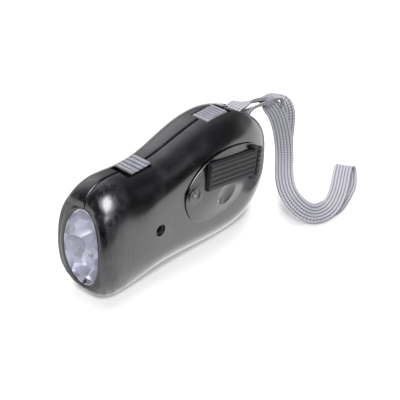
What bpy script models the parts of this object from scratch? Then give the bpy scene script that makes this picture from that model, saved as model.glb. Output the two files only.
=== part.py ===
"""A hand-cranked dynamo flashlight: a peanut-shaped two-part case with three LEDs behind an oval lens,
a power slide and a second slide on top, an egg-shaped crank arm with a fold-out ribbed grip on its right
side, the gear train, rotor, coil and cells inside, and a flat wrist strap looped over a bar at the rear.
The lens faces -Y, the crank is on +X, and the case stands on the plane z = 0."""

import math

import bmesh
import bpy
import numpy as np
from mathutils import Vector

MM = 0.001
OBJECT_NAME = "dynamo_flashlight"

# Clearance between pieces that touch or run in each other
CLEAR = 0.3 * MM

# Case outline, front to rear: shares along the length, heights of the top and bottom lines, half widths
LENGTH = 114 * MM
FRONT = -LENGTH / 2
FRONT_SHARE, WAIST_SHARE, REAR_SHARE, REAR_WIDTH_SHARE = 0.123, 0.311, 0.715, 0.669
NOSE_TOP, FRONT_TOP, WAIST_TOP, REAR_TOP = 45.1 * MM, 54.6 * MM, 53.0 * MM, 59.5 * MM
NOSE_BOTTOM, LOBE_BOTTOM, WAIST_BOTTOM = 9.1 * MM, -0.5 * MM, 2.7 * MM
TAIL_HEIGHT = 32.3 * MM
NOSE_HALF, FRONT_HALF, WAIST_HALF = 14.2 * MM, 14.4 * MM, 15.2 * MM
LEFT_HALF = 19.3 * MM
RIGHT_EXTRA = 1.6 * MM
SECTION_POWER = 3.1
TAIL_POWER = 2.6
WALL = 2.0 * MM
SEAM = 0.3 * MM
SIDE_FLAT = 15.8 * MM

# Lens and reflector; the nose leans back and bulges by these amounts
NOSE_LEAN = 0.084
NOSE_BULGE = 2.0 * MM
LENS_HALF_WIDTH, LENS_HALF_HEIGHT = 10.7 * MM, 18.7 * MM
LENS_CENTRE_Z = 25.9 * MM
LENS_RECESS = 0.8 * MM
LENS_THICKNESS = 1.6 * MM
REFLECTOR_FRONT, REFLECTOR_BACK = 6.2 * MM, 15.4 * MM
LED_RADIUS = 2.5 * MM
LED_SPREAD_X, LED_SPREAD_Z = 5.2 * MM, 7.2 * MM
CUP_RADIUS = 8.2 * MM
BOARD = 1.5 * MM

# Crank: the hub's place on the right side, this far above a share of the rear lobe's height, the arm's
# outline in millimetres along and up from the hub, and its levels outwards from the parting plane
HUB_SHARE, HUB_RISE = 0.4, 11.7 * MM
HUB_Y, HUB_Z = -3.6 * MM, HUB_SHARE * REAR_TOP + HUB_RISE
ARM_POINTS = (
    (-4.6, -2.0), (0.1, -13.7), (13.1, -18.3), (28.6, -15.9), (40.1, -6.7), (46.2, 2.5), (40.1, 9.5),
    (25.6, 13.5), (11.6, 12.9), (0.1, 7.0),
)
ARM_RIM = 1.2 * MM
ARM_CROWN = 3.5 * MM
SCOOP_RADIUS, SCOOP_HEIGHT, SCOOP_BACK = 7 * MM, 9.2 * MM, 0.5 * MM
NOTCH_RADIUS, NOTCH_OUT, NOTCH_BACK, NOTCH_RISE = 3.6 * MM, 0.6 * MM, 48.6 * MM, 1.5 * MM
HUB_BOSS_RADIUS, HUB_BOSS_HEIGHT = 4.1 * MM, 2.5 * MM
SHAFT_RADIUS = 2.5 * MM
HUB_SEAT_RADIUS, HUB_WASHER_RADIUS, HUB_WASHER = 3.4 * MM, 3.1 * MM, 0.6 * MM
HUB_SCREW_RADIUS, HUB_HEAD_RADIUS, HUB_SOCKET_RADIUS = 0.9 * MM, 1.9 * MM, 0.7 * MM
HUB_HEAD, HUB_THREAD = 0.9 * MM, 6 * MM
GRIP_LENGTH, GRIP_WIDTH, GRIP_HALF = 31 * MM, 13 * MM, 1.45 * MM
GRIP_RIB = 0.35 * MM
GRIP_ANGLE = math.radians(-10)
GRIP_HINGE_Y, GRIP_HINGE_Z = HUB_Y + 38.6 * MM, HUB_Z + 0.6 * MM
GRIP_FLOOR = 0.8 * MM
GRIP_PIN_RADIUS = 0.6 * MM
GRIP_PIN_LENGTH = 16 * MM
HEEL_RADIUS, HEEL_START = 1.35 * MM, 0.7 * MM

# Gear train
MODULE = 0.8 * MM
PRESSURE = math.radians(25)
ADDENDUM, DEDENDUM = 0.68 * MM, 0.96 * MM
THINNING = 0.16 * MM
DRIVE_TEETH, WHEEL_TEETH, PINION_TEETH, ROTOR_TEETH = 30, 32, 12, 10
GEAR_WIDTH, LAYER_STEP = 2.0 * MM, 2.5 * MM
FIRST_LAYER = 8.6 * MM
STAGE_ANGLES = (math.radians(-35), math.radians(20), math.radians(-90))
AXLE_RADIUS, ROTOR_SHAFT_RADIUS = 1.2 * MM, 1.0 * MM
PLATE_LOW, PLATE_HIGH = 1.9 * MM, 3.2 * MM
ROTOR_RADIUS, ROTOR_LOW, ROTOR_HIGH = 7.5 * MM, -9.5 * MM, 0.9 * MM
CORE_LOW, CORE_HIGH = -7.0 * MM, -3.0 * MM
CORE_LEG, CORE_POST, CORE_BORE = 5 * MM, 1.6 * MM, 0.8 * MM
COIL_SKIN, COIL_FLANGE, COIL_WOUND = 0.7 * MM, 0.8 * MM, 2.6 * MM
# Outlines of the gear plate and the iron core, its window and its posts, in millimetres from the hub
PLATE_POINTS = (
    (-5.4, -5.5), (-5.4, 5.5), (8.6, 8), (41.6, 9.5), (51.1, 7.5), (53.1, -1.5), (53.1, -17.5),
    (46.6, -21), (37.6, -28.5), (23.6, -28.5), (15.6, -23.5), (6.6, -16.5),
)
CORE_POINTS = (
    (5.1, -29), (6.6, -30.1), (36.6, -30.1), (41.6, -25.5), (41.6, -15.5), (37.6, -11), (6.6, -11),
    (5.1, -12.1),
)
CORE_WINDOW = ((10.1, -25), (18.6, -25), (18.6, -16.5), (10.1, -16.5))
CORE_POSTS = ((15.6, -13.7), (39.6, -15))

# Slides on top: middle, length along the case, width and travel
POWER_Y, POWER_LENGTH, POWER_WIDTH, POWER_TRAVEL = FRONT + 32.9 * MM, 11.8 * MM, 10.4 * MM, 2.4 * MM
POWER_POCKET_Z, POWER_CAP = FRONT_TOP - 2.7 * MM, 2.0 * MM
REAR_Y, REAR_LENGTH, REAR_WIDTH, REAR_TRAVEL = 25.2 * MM, 13.4 * MM, 9.4 * MM, 2.0 * MM
REAR_POCKET_Z, REAR_CAP = REAR_TOP - 2.3 * MM, 1.3 * MM
RIB_HEIGHT = 0.5 * MM
STEM_HALF, STEM_REACH, STEM_DEPTH = 1.6 * MM, 2.0 * MM, 1.3 * MM

# Charging socket, cells, boards; those of the nose keep their places behind the front of the case
SOCKET_Y, SOCKET_Z = FRONT + 33.3 * MM, 26.5 * MM
SOCKET_RADIUS, SOCKET_NOSE, SOCKET_BORE, SOCKET_LENGTH = 3.9 * MM, 2.5 * MM, 1.75 * MM, 6.2 * MM
SOCKET_PIN, SOCKET_FLOOR, SOCKET_STEP = 0.5 * MM, 2 * MM, 1.4 * MM
CELL_RADIUS, CELL_HEIGHT, CELL_COUNT = 8.0 * MM, 4.4 * MM, 3
CELL_Y, CELL_Z, CELL_LOW = FRONT + 28.7 * MM, 15.6 * MM, -7.6 * MM
CONTACT, CONTACT_REACH, TRAY_WALL = 0.5 * MM, 6 * MM, 1.1 * MM
MAIN_BOARD_Z, REAR_BOARD_Z = POWER_POCKET_Z - 9.9 * MM, HUB_Z + 10.9 * MM
MAIN_BOARD_FRONT, MAIN_BOARD_REAR = FRONT + 21 * MM, FRONT + 41.8 * MM
REAR_BOARD_FRONT, REAR_BOARD_REAR = REAR_Y - 11.2 * MM, REAR_Y + 11.8 * MM
BOARD_HALF, LEDGE_X, LEDGE, LEDGE_END = 9.5 * MM, 9.2 * MM, 1.6 * MM, 2 * MM
LED_BOARD_LOW, LED_BOARD_HIGH = 10.5 * MM, 41.2 * MM
LED_RIB_LOW, LED_RIB_HIGH, LED_RIB_BACK = LED_BOARD_LOW + 3.5 * MM, LED_BOARD_HIGH - 3.2 * MM, 3.6 * MM
SWITCH_HALF_WIDTH, SWITCH_HALF, SWITCH_HEIGHT = 4 * MM, 5.5 * MM, 4.6 * MM
CAPACITOR_RADIUS, CAPACITOR_HEIGHT, CAPACITOR_AT = 2.2 * MM, 4.2 * MM, (6.9 * MM, FRONT + 35 * MM)
RECTIFIER_RADIUS, RECTIFIER_HALF, RECTIFIER_X = 0.9 * MM, 2.2 * MM, 5 * MM
RECTIFIERS = (FRONT + 22.6 * MM, FRONT + 25.4 * MM)

# Case screws: place on the side, and their sizes
SCREW_PLACES = {
    "front": (FRONT + 12.5 * MM, FRONT_TOP - 5.4 * MM),
    "waist": (HUB_Y - 6.4 * MM, 8.0 * MM),
    "rear_top": (HUB_Y + 46.6 * MM, HUB_Z + 4.5 * MM),
    "rear_bottom": (HUB_Y + 48.6 * MM, HUB_Z - 15.5 * MM),
}
SCREW_HEAD_RADIUS, SCREW_HEAD, SCREW_RADIUS, SCREW_LENGTH = 2.2 * MM, 1.7 * MM, 1.1 * MM, 14 * MM
SCREW_SEAT = -7.0 * MM
BOSS_LEFT, BOSS_RIGHT = 3.6 * MM, 3.0 * MM

# Strap: bar in the case, ribbon size, crimp, and the routes that the ribbon follows
BAR_Y, BAR_Z, BAR_RADIUS, BAR_HALF = 43.0 * MM, 52.3 * MM, 1.3 * MM, 6.9 * MM
SLOT_HALF, SLOT_FRONT, SLOT_REAR, SLOT_FLOOR = 5.2 * MM, 38.2 * MM, 51.0 * MM, 47.6 * MM
RIBBON_WIDTH, RIBBON_THICKNESS = 9.0 * MM, 1.2 * MM
CRIMP_Y, CRIMP_Z, CRIMP_LENGTH = 64.8 * MM, 48.7 * MM, 5.4 * MM

UP, DOWN = (0, 0, 1), (0, 0, -1)
OUT, IN = (0.57, -0.62, 0.54), (-0.57, 0.62, -0.54)
# Each stop is a place in millimetres and the way that the ribbon's face looks there.
ANCHOR_ROUTE = (
    ((0, 61.8, 50.2), UP), ((0, 56, 52.6), UP), ((0, 50, 54.7), UP), ((0, 43.2, 55.2), UP),
    ((0, 40.6, 54.0), (0, -0.7, 0.7)), ((0, 40.0, 52.3), (0, -1, 0)),
    ((0, 40.8, 50.3), (0, -0.7, -0.7)), ((0, 43.2, 49.3), DOWN), ((0, 50, 50.0), DOWN),
    ((0, 56, 49.4), DOWN), ((0, 61.8, 47.4), DOWN),
)
HAND_ROUTE = (
    ((0, 68.2, 47.2), UP), ((0.3, 70.3, 45.6), UP), ((1.2, 71.6, 41.0), (0.4, -0.2, 0.9)),
    ((2.8, 72.2, 35.0), OUT), ((5.6, 72.3, 27.2), OUT), ((9.5, 69.4, 20.6), OUT), ((14.5, 63.5, 15.6), OUT),
    ((21, 57.8, 12.2), OUT), ((28.2, 54.4, 9.6), OUT), ((34.6, 54.6, 6.9), OUT),
    ((38.8, 58.2, 5.3), OUT), ((40, 65.2, 5.0), OUT), ((38.2, 73.2, 5.4), (0.3, -0.3, 0.9)),
    ((34, 82.3, 6.2), UP), ((28.5, 94.5, 6.6), UP), ((25.6, 101.5, 6.4), (-0.1, 0.25, 0.96)),
    ((24.6, 104.6, 4.0), (-0.35, 0.93, 0)), ((26.6, 101.5, 1.5), (0, 0.1, -1)),
    ((31, 93.5, 1.0), DOWN), ((36, 82.5, 1.2), DOWN), ((37.8, 72.5, 2.8), (-0.3, 0.3, -0.9)),
    ((36.6, 63.5, 4.8), IN), ((32.8, 58.2, 7.2), IN), ((27.2, 57.8, 10.8), IN),
    ((20.4, 61.2, 14.4), IN), ((14.0, 66.8, 19.0), IN), ((9.0, 72.5, 24.6), IN),
    ((5.8, 76.0, 31.0), IN), ((3.2, 77.6, 38.5), IN), ((1.5, 76.4, 44.6), (-0.2, 0.3, -0.9)),
    ((0.5, 72.8, 49.2), DOWN), ((0, 68.2, 50.2), DOWN),
)

# Finishes: colour, roughness, metallic
FINISHES = {
    "case": ((0.030, 0.030, 0.033, 1), 0.22, 0),
    "grip": ((0.012, 0.012, 0.013, 1), 0.45, 0),
    "grey": ((0.25, 0.25, 0.28, 1), 0.5, 0),
    "clear": ((0.75, 0.77, 0.82, 1), 0.08, 0),
    "mirror": ((0.70, 0.70, 0.76, 1), 0.15, 1),
    "steel": ((0.55, 0.55, 0.57, 1), 0.3, 1),
    "copper": ((0.60, 0.26, 0.10, 1), 0.35, 1),
    "white": ((0.72, 0.72, 0.70, 1), 0.4, 0),
    "board": ((0.05, 0.20, 0.10, 1), 0.5, 0),
    "black": ((0.01, 0.01, 0.01, 1), 0.5, 0),
    "ribbon": ((0.42, 0.42, 0.47, 1), 0.85, 0),
}

# The parting plane lies beside the frame's middle, because the crank stands out further than the left side.
GRIP_AXIS_X = SIDE_FLAT + CLEAR + GRIP_FLOOR + GRIP_HALF + CLEAR + 0.05 * MM
CRANK_FACE = GRIP_AXIS_X + GRIP_HALF + GRIP_RIB
PARTING_X = (LEFT_HALF - CRANK_FACE) / 2
ARM_LOW = SIDE_FLAT + CLEAR
HUB_FLOOR = ARM_LOW + 1.2 * MM

# Shafts of the train, one after the other from the hub
DRIVE_RADIUS = MODULE * DRIVE_TEETH / 2
WHEEL_RADIUS = MODULE * WHEEL_TEETH / 2
PINION_RADIUS = MODULE * PINION_TEETH / 2
ROTOR_PINION_RADIUS = MODULE * ROTOR_TEETH / 2


def along(start, distance, angle):
    return start[0] + distance * math.cos(angle), start[1] + distance * math.sin(angle)


HUB = (HUB_Y, HUB_Z)
STAGE_1 = along(HUB, DRIVE_RADIUS + PINION_RADIUS, STAGE_ANGLES[0])
STAGE_2 = along(STAGE_1, WHEEL_RADIUS + PINION_RADIUS, STAGE_ANGLES[1])
ROTOR = along(STAGE_2, WHEEL_RADIUS + ROTOR_PINION_RADIUS, STAGE_ANGLES[2])

# Rotations that turn a flat outline or a turned shape to face an axis
FACE_X = (math.pi / 2, 0, math.pi / 2)
AXIS_X = (0, math.pi / 2, 0)
AXIS_FRONT = (math.pi / 2, 0, 0)

for old in list(bpy.data.objects):
    bpy.data.objects.remove(old, do_unlink=True)
parts = bpy.data.collections.new(OBJECT_NAME)
cutters = bpy.data.collections.new("cutters")
bpy.context.scene.collection.children.link(parts)
bpy.context.scene.collection.children.link(cutters)
frame = bpy.data.objects.new("parting_plane", None)
frame.location.x = PARTING_X
parts.objects.link(frame)


def finish_of(obj, finish):
    """Gives the object a material of its own with the colour, roughness and metallic value of the finish."""
    colour, roughness, metallic = FINISHES[finish]
    material = bpy.data.materials.new(obj.name)
    material.use_nodes = True
    shader = material.node_tree.nodes["Principled BSDF"]
    shader.inputs["Base Color"].default_value = colour
    shader.inputs["Roughness"].default_value = roughness
    shader.inputs["Metallic"].default_value = metallic
    material.diffuse_color = colour
    obj.data.materials.append(material)


def place(name, mesh, finish=None, location=(0, 0, 0), rotation=(0, 0, 0)):
    """Adds a piece, or a cutter where it has no finish, measured from the parting plane."""
    obj = bpy.data.objects.new(name, mesh)
    obj.parent = frame
    obj.location = location
    obj.rotation_euler = rotation
    if finish:
        parts.objects.link(obj)
        finish_of(obj, finish)
    else:
        cutters.objects.link(obj)
        obj.hide_render = True
        obj.display_type = "WIRE"
    return obj


def combine(obj, operation, *others):
    for other in others:
        modifier = obj.modifiers.new(other.name, "BOOLEAN")
        modifier.operation = operation
        modifier.object = other
    return obj


def mesh_from(bm, name):
    """Ends the bmesh as a mesh whose faces point out."""
    bmesh.ops.recalc_face_normals(bm, faces=bm.faces)
    if bm.calc_volume(signed=True) < 0:
        bmesh.ops.reverse_faces(bm, faces=bm.faces)
    mesh = bpy.data.meshes.new(name)
    bm.to_mesh(mesh)
    bm.free()
    return mesh


def loft(name, rings):
    """A closed mesh through rings of equal counts, with a face over each end."""
    bm = bmesh.new()
    rows = [[bm.verts.new(point) for point in ring] for ring in rings]
    count = len(rows[0])
    for first, second in zip(rows, rows[1:]):
        for i in range(count):
            j = (i + 1) % count
            bm.faces.new((first[i], first[j], second[j], second[i]))
    bm.faces.new(rows[0][::-1])
    bm.faces.new(rows[-1])
    bmesh.ops.triangulate(bm, faces=bm.faces)
    return mesh_from(bm, name)


def solids(name, boxes=(), rods=(), sides=12):
    """Separate boxes, each (x0, x1, y0, y1, z0, z1), and rods along X, each (y, z, radius, x0, x1)."""
    bm = bmesh.new()
    for x0, x1, y0, y1, z0, z1 in boxes:
        made = bmesh.ops.create_cube(bm, size=1)["verts"]
        bmesh.ops.scale(bm, vec=(x1 - x0, y1 - y0, z1 - z0), verts=made)
        bmesh.ops.translate(bm, vec=((x0 + x1) / 2, (y0 + y1) / 2, (z0 + z1) / 2), verts=made)
    for y, z, radius, x0, x1 in rods:
        made = bmesh.ops.create_cone(
            bm, cap_ends=True, segments=sides, radius1=radius, radius2=radius, depth=x1 - x0
        )["verts"]
        for vert in made:
            vert.co = Vector((vert.co.z + (x0 + x1) / 2, vert.co.x + y, vert.co.y + z))
    return mesh_from(bm, name)


def circle(radius, count=24, centre=(0, 0)):
    steps = (2 * math.pi * i / count for i in range(count))
    return [(centre[0] + radius * math.cos(a), centre[1] + radius * math.sin(a)) for a in steps]


def plate(name, loops, low, high):
    """A flat outline with its holes, extruded from low to high along its own Z, as a closed mesh."""
    curve = bpy.data.curves.new(name, "CURVE")
    curve.dimensions = "2D"
    curve.fill_mode = "BOTH"
    curve.extrude = (high - low) / 2
    for loop in loops:
        spline = curve.splines.new("POLY")
        spline.points.add(len(loop) - 1)
        spline.use_cyclic_u = True
        for point, (u, v) in zip(spline.points, loop):
            point.co = (u, v, 0, 1)
    holder = bpy.data.objects.new(name, curve)
    cutters.objects.link(holder)
    bpy.context.view_layer.update()
    mesh = bpy.data.meshes.new_from_object(holder.evaluated_get(bpy.context.evaluated_depsgraph_get()))
    bpy.data.objects.remove(holder)
    bpy.data.curves.remove(curve)
    bm = bmesh.new()
    bm.from_mesh(mesh)
    bpy.data.meshes.remove(mesh)
    bmesh.ops.remove_doubles(bm, verts=bm.verts, dist=1e-6)
    bmesh.ops.translate(bm, vec=(0, 0, (low + high) / 2), verts=bm.verts)
    return mesh_from(bm, name)


def turned(name, profile, finish, location, rotation, steps=16):
    """Turns (radius, height) points, run down the outer side, about the piece's own Z."""
    mesh = bpy.data.meshes.new(name)
    points = [(radius, 0, height) for radius, height in profile]
    closed = min(radius for radius, _ in profile) > 0
    edges = [(i, i + 1) for i in range(len(points) - 1)]
    if closed:
        edges.append((len(points) - 1, 0))
    mesh.from_pydata(points, edges, [])
    obj = place(name, mesh, finish, location, rotation)
    screw = obj.modifiers.new("turn", "SCREW")
    screw.steps = steps
    screw.render_steps = steps
    screw.use_merge_vertices = True
    screw.merge_threshold = 1e-6
    return obj


def ease(a, b, share):
    share = min(max(share, 0), 1)
    return a + (b - a) * share * share * (3 - 2 * share)


def lobes(share, nose, front, waist, rear, tail, rear_share, power):
    """One line of the case along its length: nose rounding, two lobes with a waist, and a rounded tail."""
    if share < FRONT_SHARE:
        return nose + (front - nose) * math.sqrt(1 - (1 - share / FRONT_SHARE) ** 2)
    if share < WAIST_SHARE:
        return ease(front, waist, (share - FRONT_SHARE) / (WAIST_SHARE - FRONT_SHARE))
    if share < rear_share:
        return ease(waist, rear, (share - WAIST_SHARE) / (rear_share - WAIST_SHARE))
    left = 1 - ((share - rear_share) / (1 - rear_share)) ** power
    return tail + (rear - tail) * max(left, 0) ** (1 / power)


def top_line(share):
    return lobes(share, NOSE_TOP, FRONT_TOP, WAIST_TOP, REAR_TOP, TAIL_HEIGHT, REAR_SHARE, 2)


def bottom_line(share):
    return lobes(share, NOSE_BOTTOM, LOBE_BOTTOM, WAIST_BOTTOM, LOBE_BOTTOM, TAIL_HEIGHT, REAR_SHARE, 2)


def half_widths(share):
    left = lobes(share, NOSE_HALF, FRONT_HALF, WAIST_HALF, LEFT_HALF, 0, REAR_WIDTH_SHARE, TAIL_POWER)
    right = lobes(
        share, NOSE_HALF + RIGHT_EXTRA / 2, FRONT_HALF + RIGHT_EXTRA / 2, WAIST_HALF + RIGHT_EXTRA,
        SIDE_FLAT + RIGHT_EXTRA, 0, REAR_WIDTH_SHARE, TAIL_POWER,
    )
    return left, right


def nose_back(z):
    """How far the nose lies behind the case's foremost point at this height."""
    rise = z - LENS_CENTRE_Z
    bulge = NOSE_BULGE * min((rise / LENS_HALF_HEIGHT) ** 2, 1)
    foremost = -(NOSE_LEAN * LENS_HALF_HEIGHT) ** 2 / (4 * NOSE_BULGE)
    return NOSE_LEAN * rise + bulge - foremost


def case_ring(share, inset, count, shrink=1.0):
    top, bottom = top_line(share), bottom_line(share)
    left, right = half_widths(share)
    middle, half = (top + bottom) / 2, (top - bottom) / 2
    y = -LENGTH / 2 + inset + share * (LENGTH - 2 * inset)
    fade = max(1 - share / 0.3, 0)
    ring = []
    for i in range(count):
        turn = 2 * math.pi * (i + 0.5) / count
        c, s = math.cos(turn), math.sin(turn)
        width = (right if c > 0 else left) - inset
        across = math.copysign(abs(c) ** (2 / SECTION_POWER), c)
        up = math.copysign(abs(s) ** (2 / SECTION_POWER), s)
        x = min(max(width, 0.05 * MM) * across * shrink, SIDE_FLAT - inset)
        z = middle + max(half - inset, 0.05 * MM) * up * shrink
        z = max(z, inset)
        ring.append((x, y + fade * nose_back(z), z))
    return ring


def case_solid(name, inset, stations, count):
    """The case's outer shape, or what it encloses where inset is the wall."""
    shares = [0.5 - 0.5 * math.cos(math.pi * i / stations) for i in range(stations)] + [0.9995]
    rings = [case_ring(0, inset, count, shrink) for shrink in (0.15, 0.55, 0.85)]
    rings += [case_ring(share, inset, count) for share in shares]
    return loft(name, rings)


def half_case(name, side, fittings, cuts):
    """One shell: the outer shape, less its hollow (in which the fittings stay), cut at the parting plane."""
    shell = place(name, case_solid(name, 0, 24, 36), "case")
    hollow = place(name + "_hollow", case_solid(name + "_hollow", WALL, 14, 20))
    combine(hollow, "DIFFERENCE", *fittings)
    low, high = (SEAM / 2, 30 * MM) if side > 0 else (-30 * MM, -SEAM / 2)
    half = place(name + "_half", solids(name, [(low, high, -70 * MM, 70 * MM, -9 * MM, 70 * MM)]))
    combine(shell, "INTERSECT", half)
    combine(shell, "DIFFERENCE", hollow, *cuts)
    return shell


def lens_ring(y_offset, share, flat=None):
    ring = []
    for i in range(36):
        turn = 2 * math.pi * i / 36
        z = LENS_CENTRE_Z + share * (LENS_HALF_HEIGHT - CLEAR) * math.sin(turn)
        x = share * (LENS_HALF_WIDTH - CLEAR) * math.cos(turn)
        y = flat if flat is not None else nose_back(z) + y_offset
        ring.append((x, y - LENGTH / 2, z))
    return ring


def build_lens():
    rim_back = REFLECTOR_FRONT - CLEAR
    back = LENS_RECESS + LENS_THICKNESS
    rings = [lens_ring(LENS_RECESS, share) for share in (0.04, 0.5, 0.95)]
    rings += [lens_ring(LENS_RECESS + 0.3 * MM, 1), lens_ring(0, 1, rim_back), lens_ring(0, 0.9, rim_back)]
    rings += [lens_ring(back, share) for share in (0.86, 0.5, 0.04)]
    place("lens", loft("lens", rings), "clear")


def oval(half_width, half_height, y, count=36):
    turns = [2 * math.pi * i / count for i in range(count)]
    return [
        (half_width * math.cos(t), y - LENGTH / 2, LENS_CENTRE_Z + half_height * math.sin(t)) for t in turns
    ]


LED_PLACES = (
    (0, LENS_CENTRE_Z + 1.3 * LED_SPREAD_Z),
    (-LED_SPREAD_X, LENS_CENTRE_Z - LED_SPREAD_Z),
    (LED_SPREAD_X, LENS_CENTRE_Z - LED_SPREAD_Z),
)


def build_reflector():
    wide, tall = LENS_HALF_WIDTH - CLEAR, LENS_HALF_HEIGHT - CLEAR
    body = loft("reflector", [
        oval(wide, tall, REFLECTOR_FRONT), oval(wide, tall, REFLECTOR_FRONT + 1.2 * MM),
        oval(wide - 1 * MM, tall - 3.5 * MM, REFLECTOR_BACK),
    ])
    reflector = place("reflector", body, "mirror")
    depth = REFLECTOR_BACK - REFLECTOR_FRONT
    hole = LED_RADIUS + CLEAR
    for number, (x, z) in enumerate(LED_PLACES, 1):
        profile = [
            (0, 1 * MM), (CUP_RADIUS, 1 * MM), (CUP_RADIUS, 0), (CUP_RADIUS * 0.8, -depth * 0.42),
            (hole, -depth * 0.8), (hole, -depth - 1 * MM), (0, -depth - 1 * MM),
        ]
        cup = turned(f"cup_{number}", profile, None, (x, REFLECTOR_FRONT - LENGTH / 2, z), AXIS_FRONT, 20)
        combine(reflector, "DIFFERENCE", cup)


def build_leds():
    back = REFLECTOR_BACK + CLEAR + 1 * MM - LENGTH / 2
    for number, (x, z) in enumerate(LED_PLACES, 1):
        dome = [
            (LED_RADIUS * math.sin(a), 6.1 * MM + LED_RADIUS * math.cos(a))
            for a in (math.radians(22.5 * step) for step in range(5))
        ]
        profile = dome + [(LED_RADIUS, 1 * MM), (2.9 * MM, 1 * MM), (2.9 * MM, 0), (0, 0)]
        turned(f"led_{number}", profile, "clear", (x, back, z), AXIS_FRONT)
    low = back + CLEAR
    board = (-BOARD_HALF, BOARD_HALF, low, low + BOARD, LED_BOARD_LOW, LED_BOARD_HIGH)
    place("led_board", solids("led_board", [board]), "board")


def involute(angle):
    return math.tan(angle) - angle


def gear_outline(teeth, phase):
    """Points round a spur gear, on the involute at each flank's ends; one tooth points along phase."""
    pitch = MODULE * teeth / 2
    base, tip, root = pitch * math.cos(PRESSURE), pitch + ADDENDUM, pitch - DEDENDUM
    half_tooth = (math.pi * MODULE / 2 - THINNING) / (2 * pitch)

    def flank(radius):
        return half_tooth + involute(PRESSURE) - involute(math.acos(min(base / radius, 1)))

    side = [(root, flank(max(base, root))), (tip, flank(tip))]
    if teeth < 20:
        side.insert(1, (pitch, flank(pitch)))
    points = []
    for tooth in range(teeth):
        middle = phase + 2 * math.pi * tooth / teeth
        for radius, angle in side:
            points.append((radius * math.cos(middle - angle), radius * math.sin(middle - angle)))
        for radius, angle in side[::-1]:
            points.append((radius * math.cos(middle + angle), radius * math.sin(middle + angle)))
    return points


def mesh_phase(direction, teeth):
    """The phase that puts a gap, not a tooth, toward the gear that drives this one."""
    return direction + math.pi + math.pi / teeth


def layer(number):
    low = FIRST_LAYER - number * LAYER_STEP
    return low, low + GEAR_WIDTH


def build_drive_gear():
    low, high = layer(0)
    gear = plate(
        "drive_gear", [gear_outline(DRIVE_TEETH, STAGE_ANGLES[0]), circle(SHAFT_RADIUS + CLEAR)], low, high
    )
    place("drive_gear", gear, "white", (0, *HUB), FACE_X)


def build_compound_gear(name, place_at, pinion_layer, toward_driver, toward_next):
    """A wheel with its pinion on the side of the layer above, and one bore through both."""
    wheel_low, wheel_high = layer(pinion_layer + 1)
    pinion_high = layer(pinion_layer)[1]
    location = (0, *place_at)
    gear = place(
        name, plate(name, [gear_outline(WHEEL_TEETH, toward_next)], wheel_low, wheel_high),
        "white", location, FACE_X,
    )
    pinion = plate(
        name + "_pinion", [gear_outline(PINION_TEETH, mesh_phase(toward_driver, PINION_TEETH))],
        wheel_high - 0.5 * MM, pinion_high,
    )
    bore = plate(name + "_bore", [circle(AXLE_RADIUS + CLEAR, 14)], wheel_low - MM, pinion_high + MM)
    combine(gear, "UNION", place(name + "_pinion", pinion, None, location, FACE_X))
    combine(gear, "DIFFERENCE", place(name + "_bore", bore, None, location, FACE_X))


def build_rotor():
    location = (0, *ROTOR)
    low, high = layer(2)
    phase = mesh_phase(STAGE_ANGLES[2], ROTOR_TEETH)
    pinion = place(
        "rotor_pinion", plate("rotor_pinion", [gear_outline(ROTOR_TEETH, phase)], low, high),
        "steel", location, FACE_X,
    )
    shaft = plate("rotor_shaft", [circle(ROTOR_SHAFT_RADIUS, 16)], ROTOR_LOW - 2.5 * MM, high + 2.2 * MM)
    combine(pinion, "UNION", place("rotor_shaft", shaft, None, location, FACE_X))
    magnet = plate(
        "rotor_magnet", [circle(ROTOR_RADIUS, 28), circle(ROTOR_SHAFT_RADIUS + CLEAR, 16)],
        ROTOR_LOW, ROTOR_HIGH,
    )
    place("rotor_magnet", magnet, "steel", location, FACE_X)


def from_hub(points):
    return [(HUB_Y + u * MM, HUB_Z + v * MM) for u, v in points]


def build_train_frame():
    outline = from_hub(PLATE_POINTS)
    holes = [circle(SHAFT_RADIUS + CLEAR, 16, HUB), circle(ROTOR_SHAFT_RADIUS + CLEAR, 12, ROTOR)]
    holes += [circle(AXLE_RADIUS + CLEAR, 12, stage) for stage in (STAGE_1, STAGE_2)]
    holes += [circle(BOSS_RIGHT + CLEAR, 14, SCREW_PLACES[name]) for name in ("rear_top", "rear_bottom")]
    base = plate("gear_plate", [outline, *holes], PLATE_LOW, PLATE_HIGH)
    place("gear_plate", base, "steel", (0, 0, 0), FACE_X)
    axle_end = SIDE_FLAT - WALL + 0.4 * MM
    for number, stage in enumerate((STAGE_1, STAGE_2), 1):
        name = f"gear_axle_{number}"
        rod = solids(name, rods=[(0, 0, AXLE_RADIUS, PLATE_LOW + CLEAR, axle_end)], sides=16)
        place(name, rod, "steel", (0, *stage))


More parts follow.
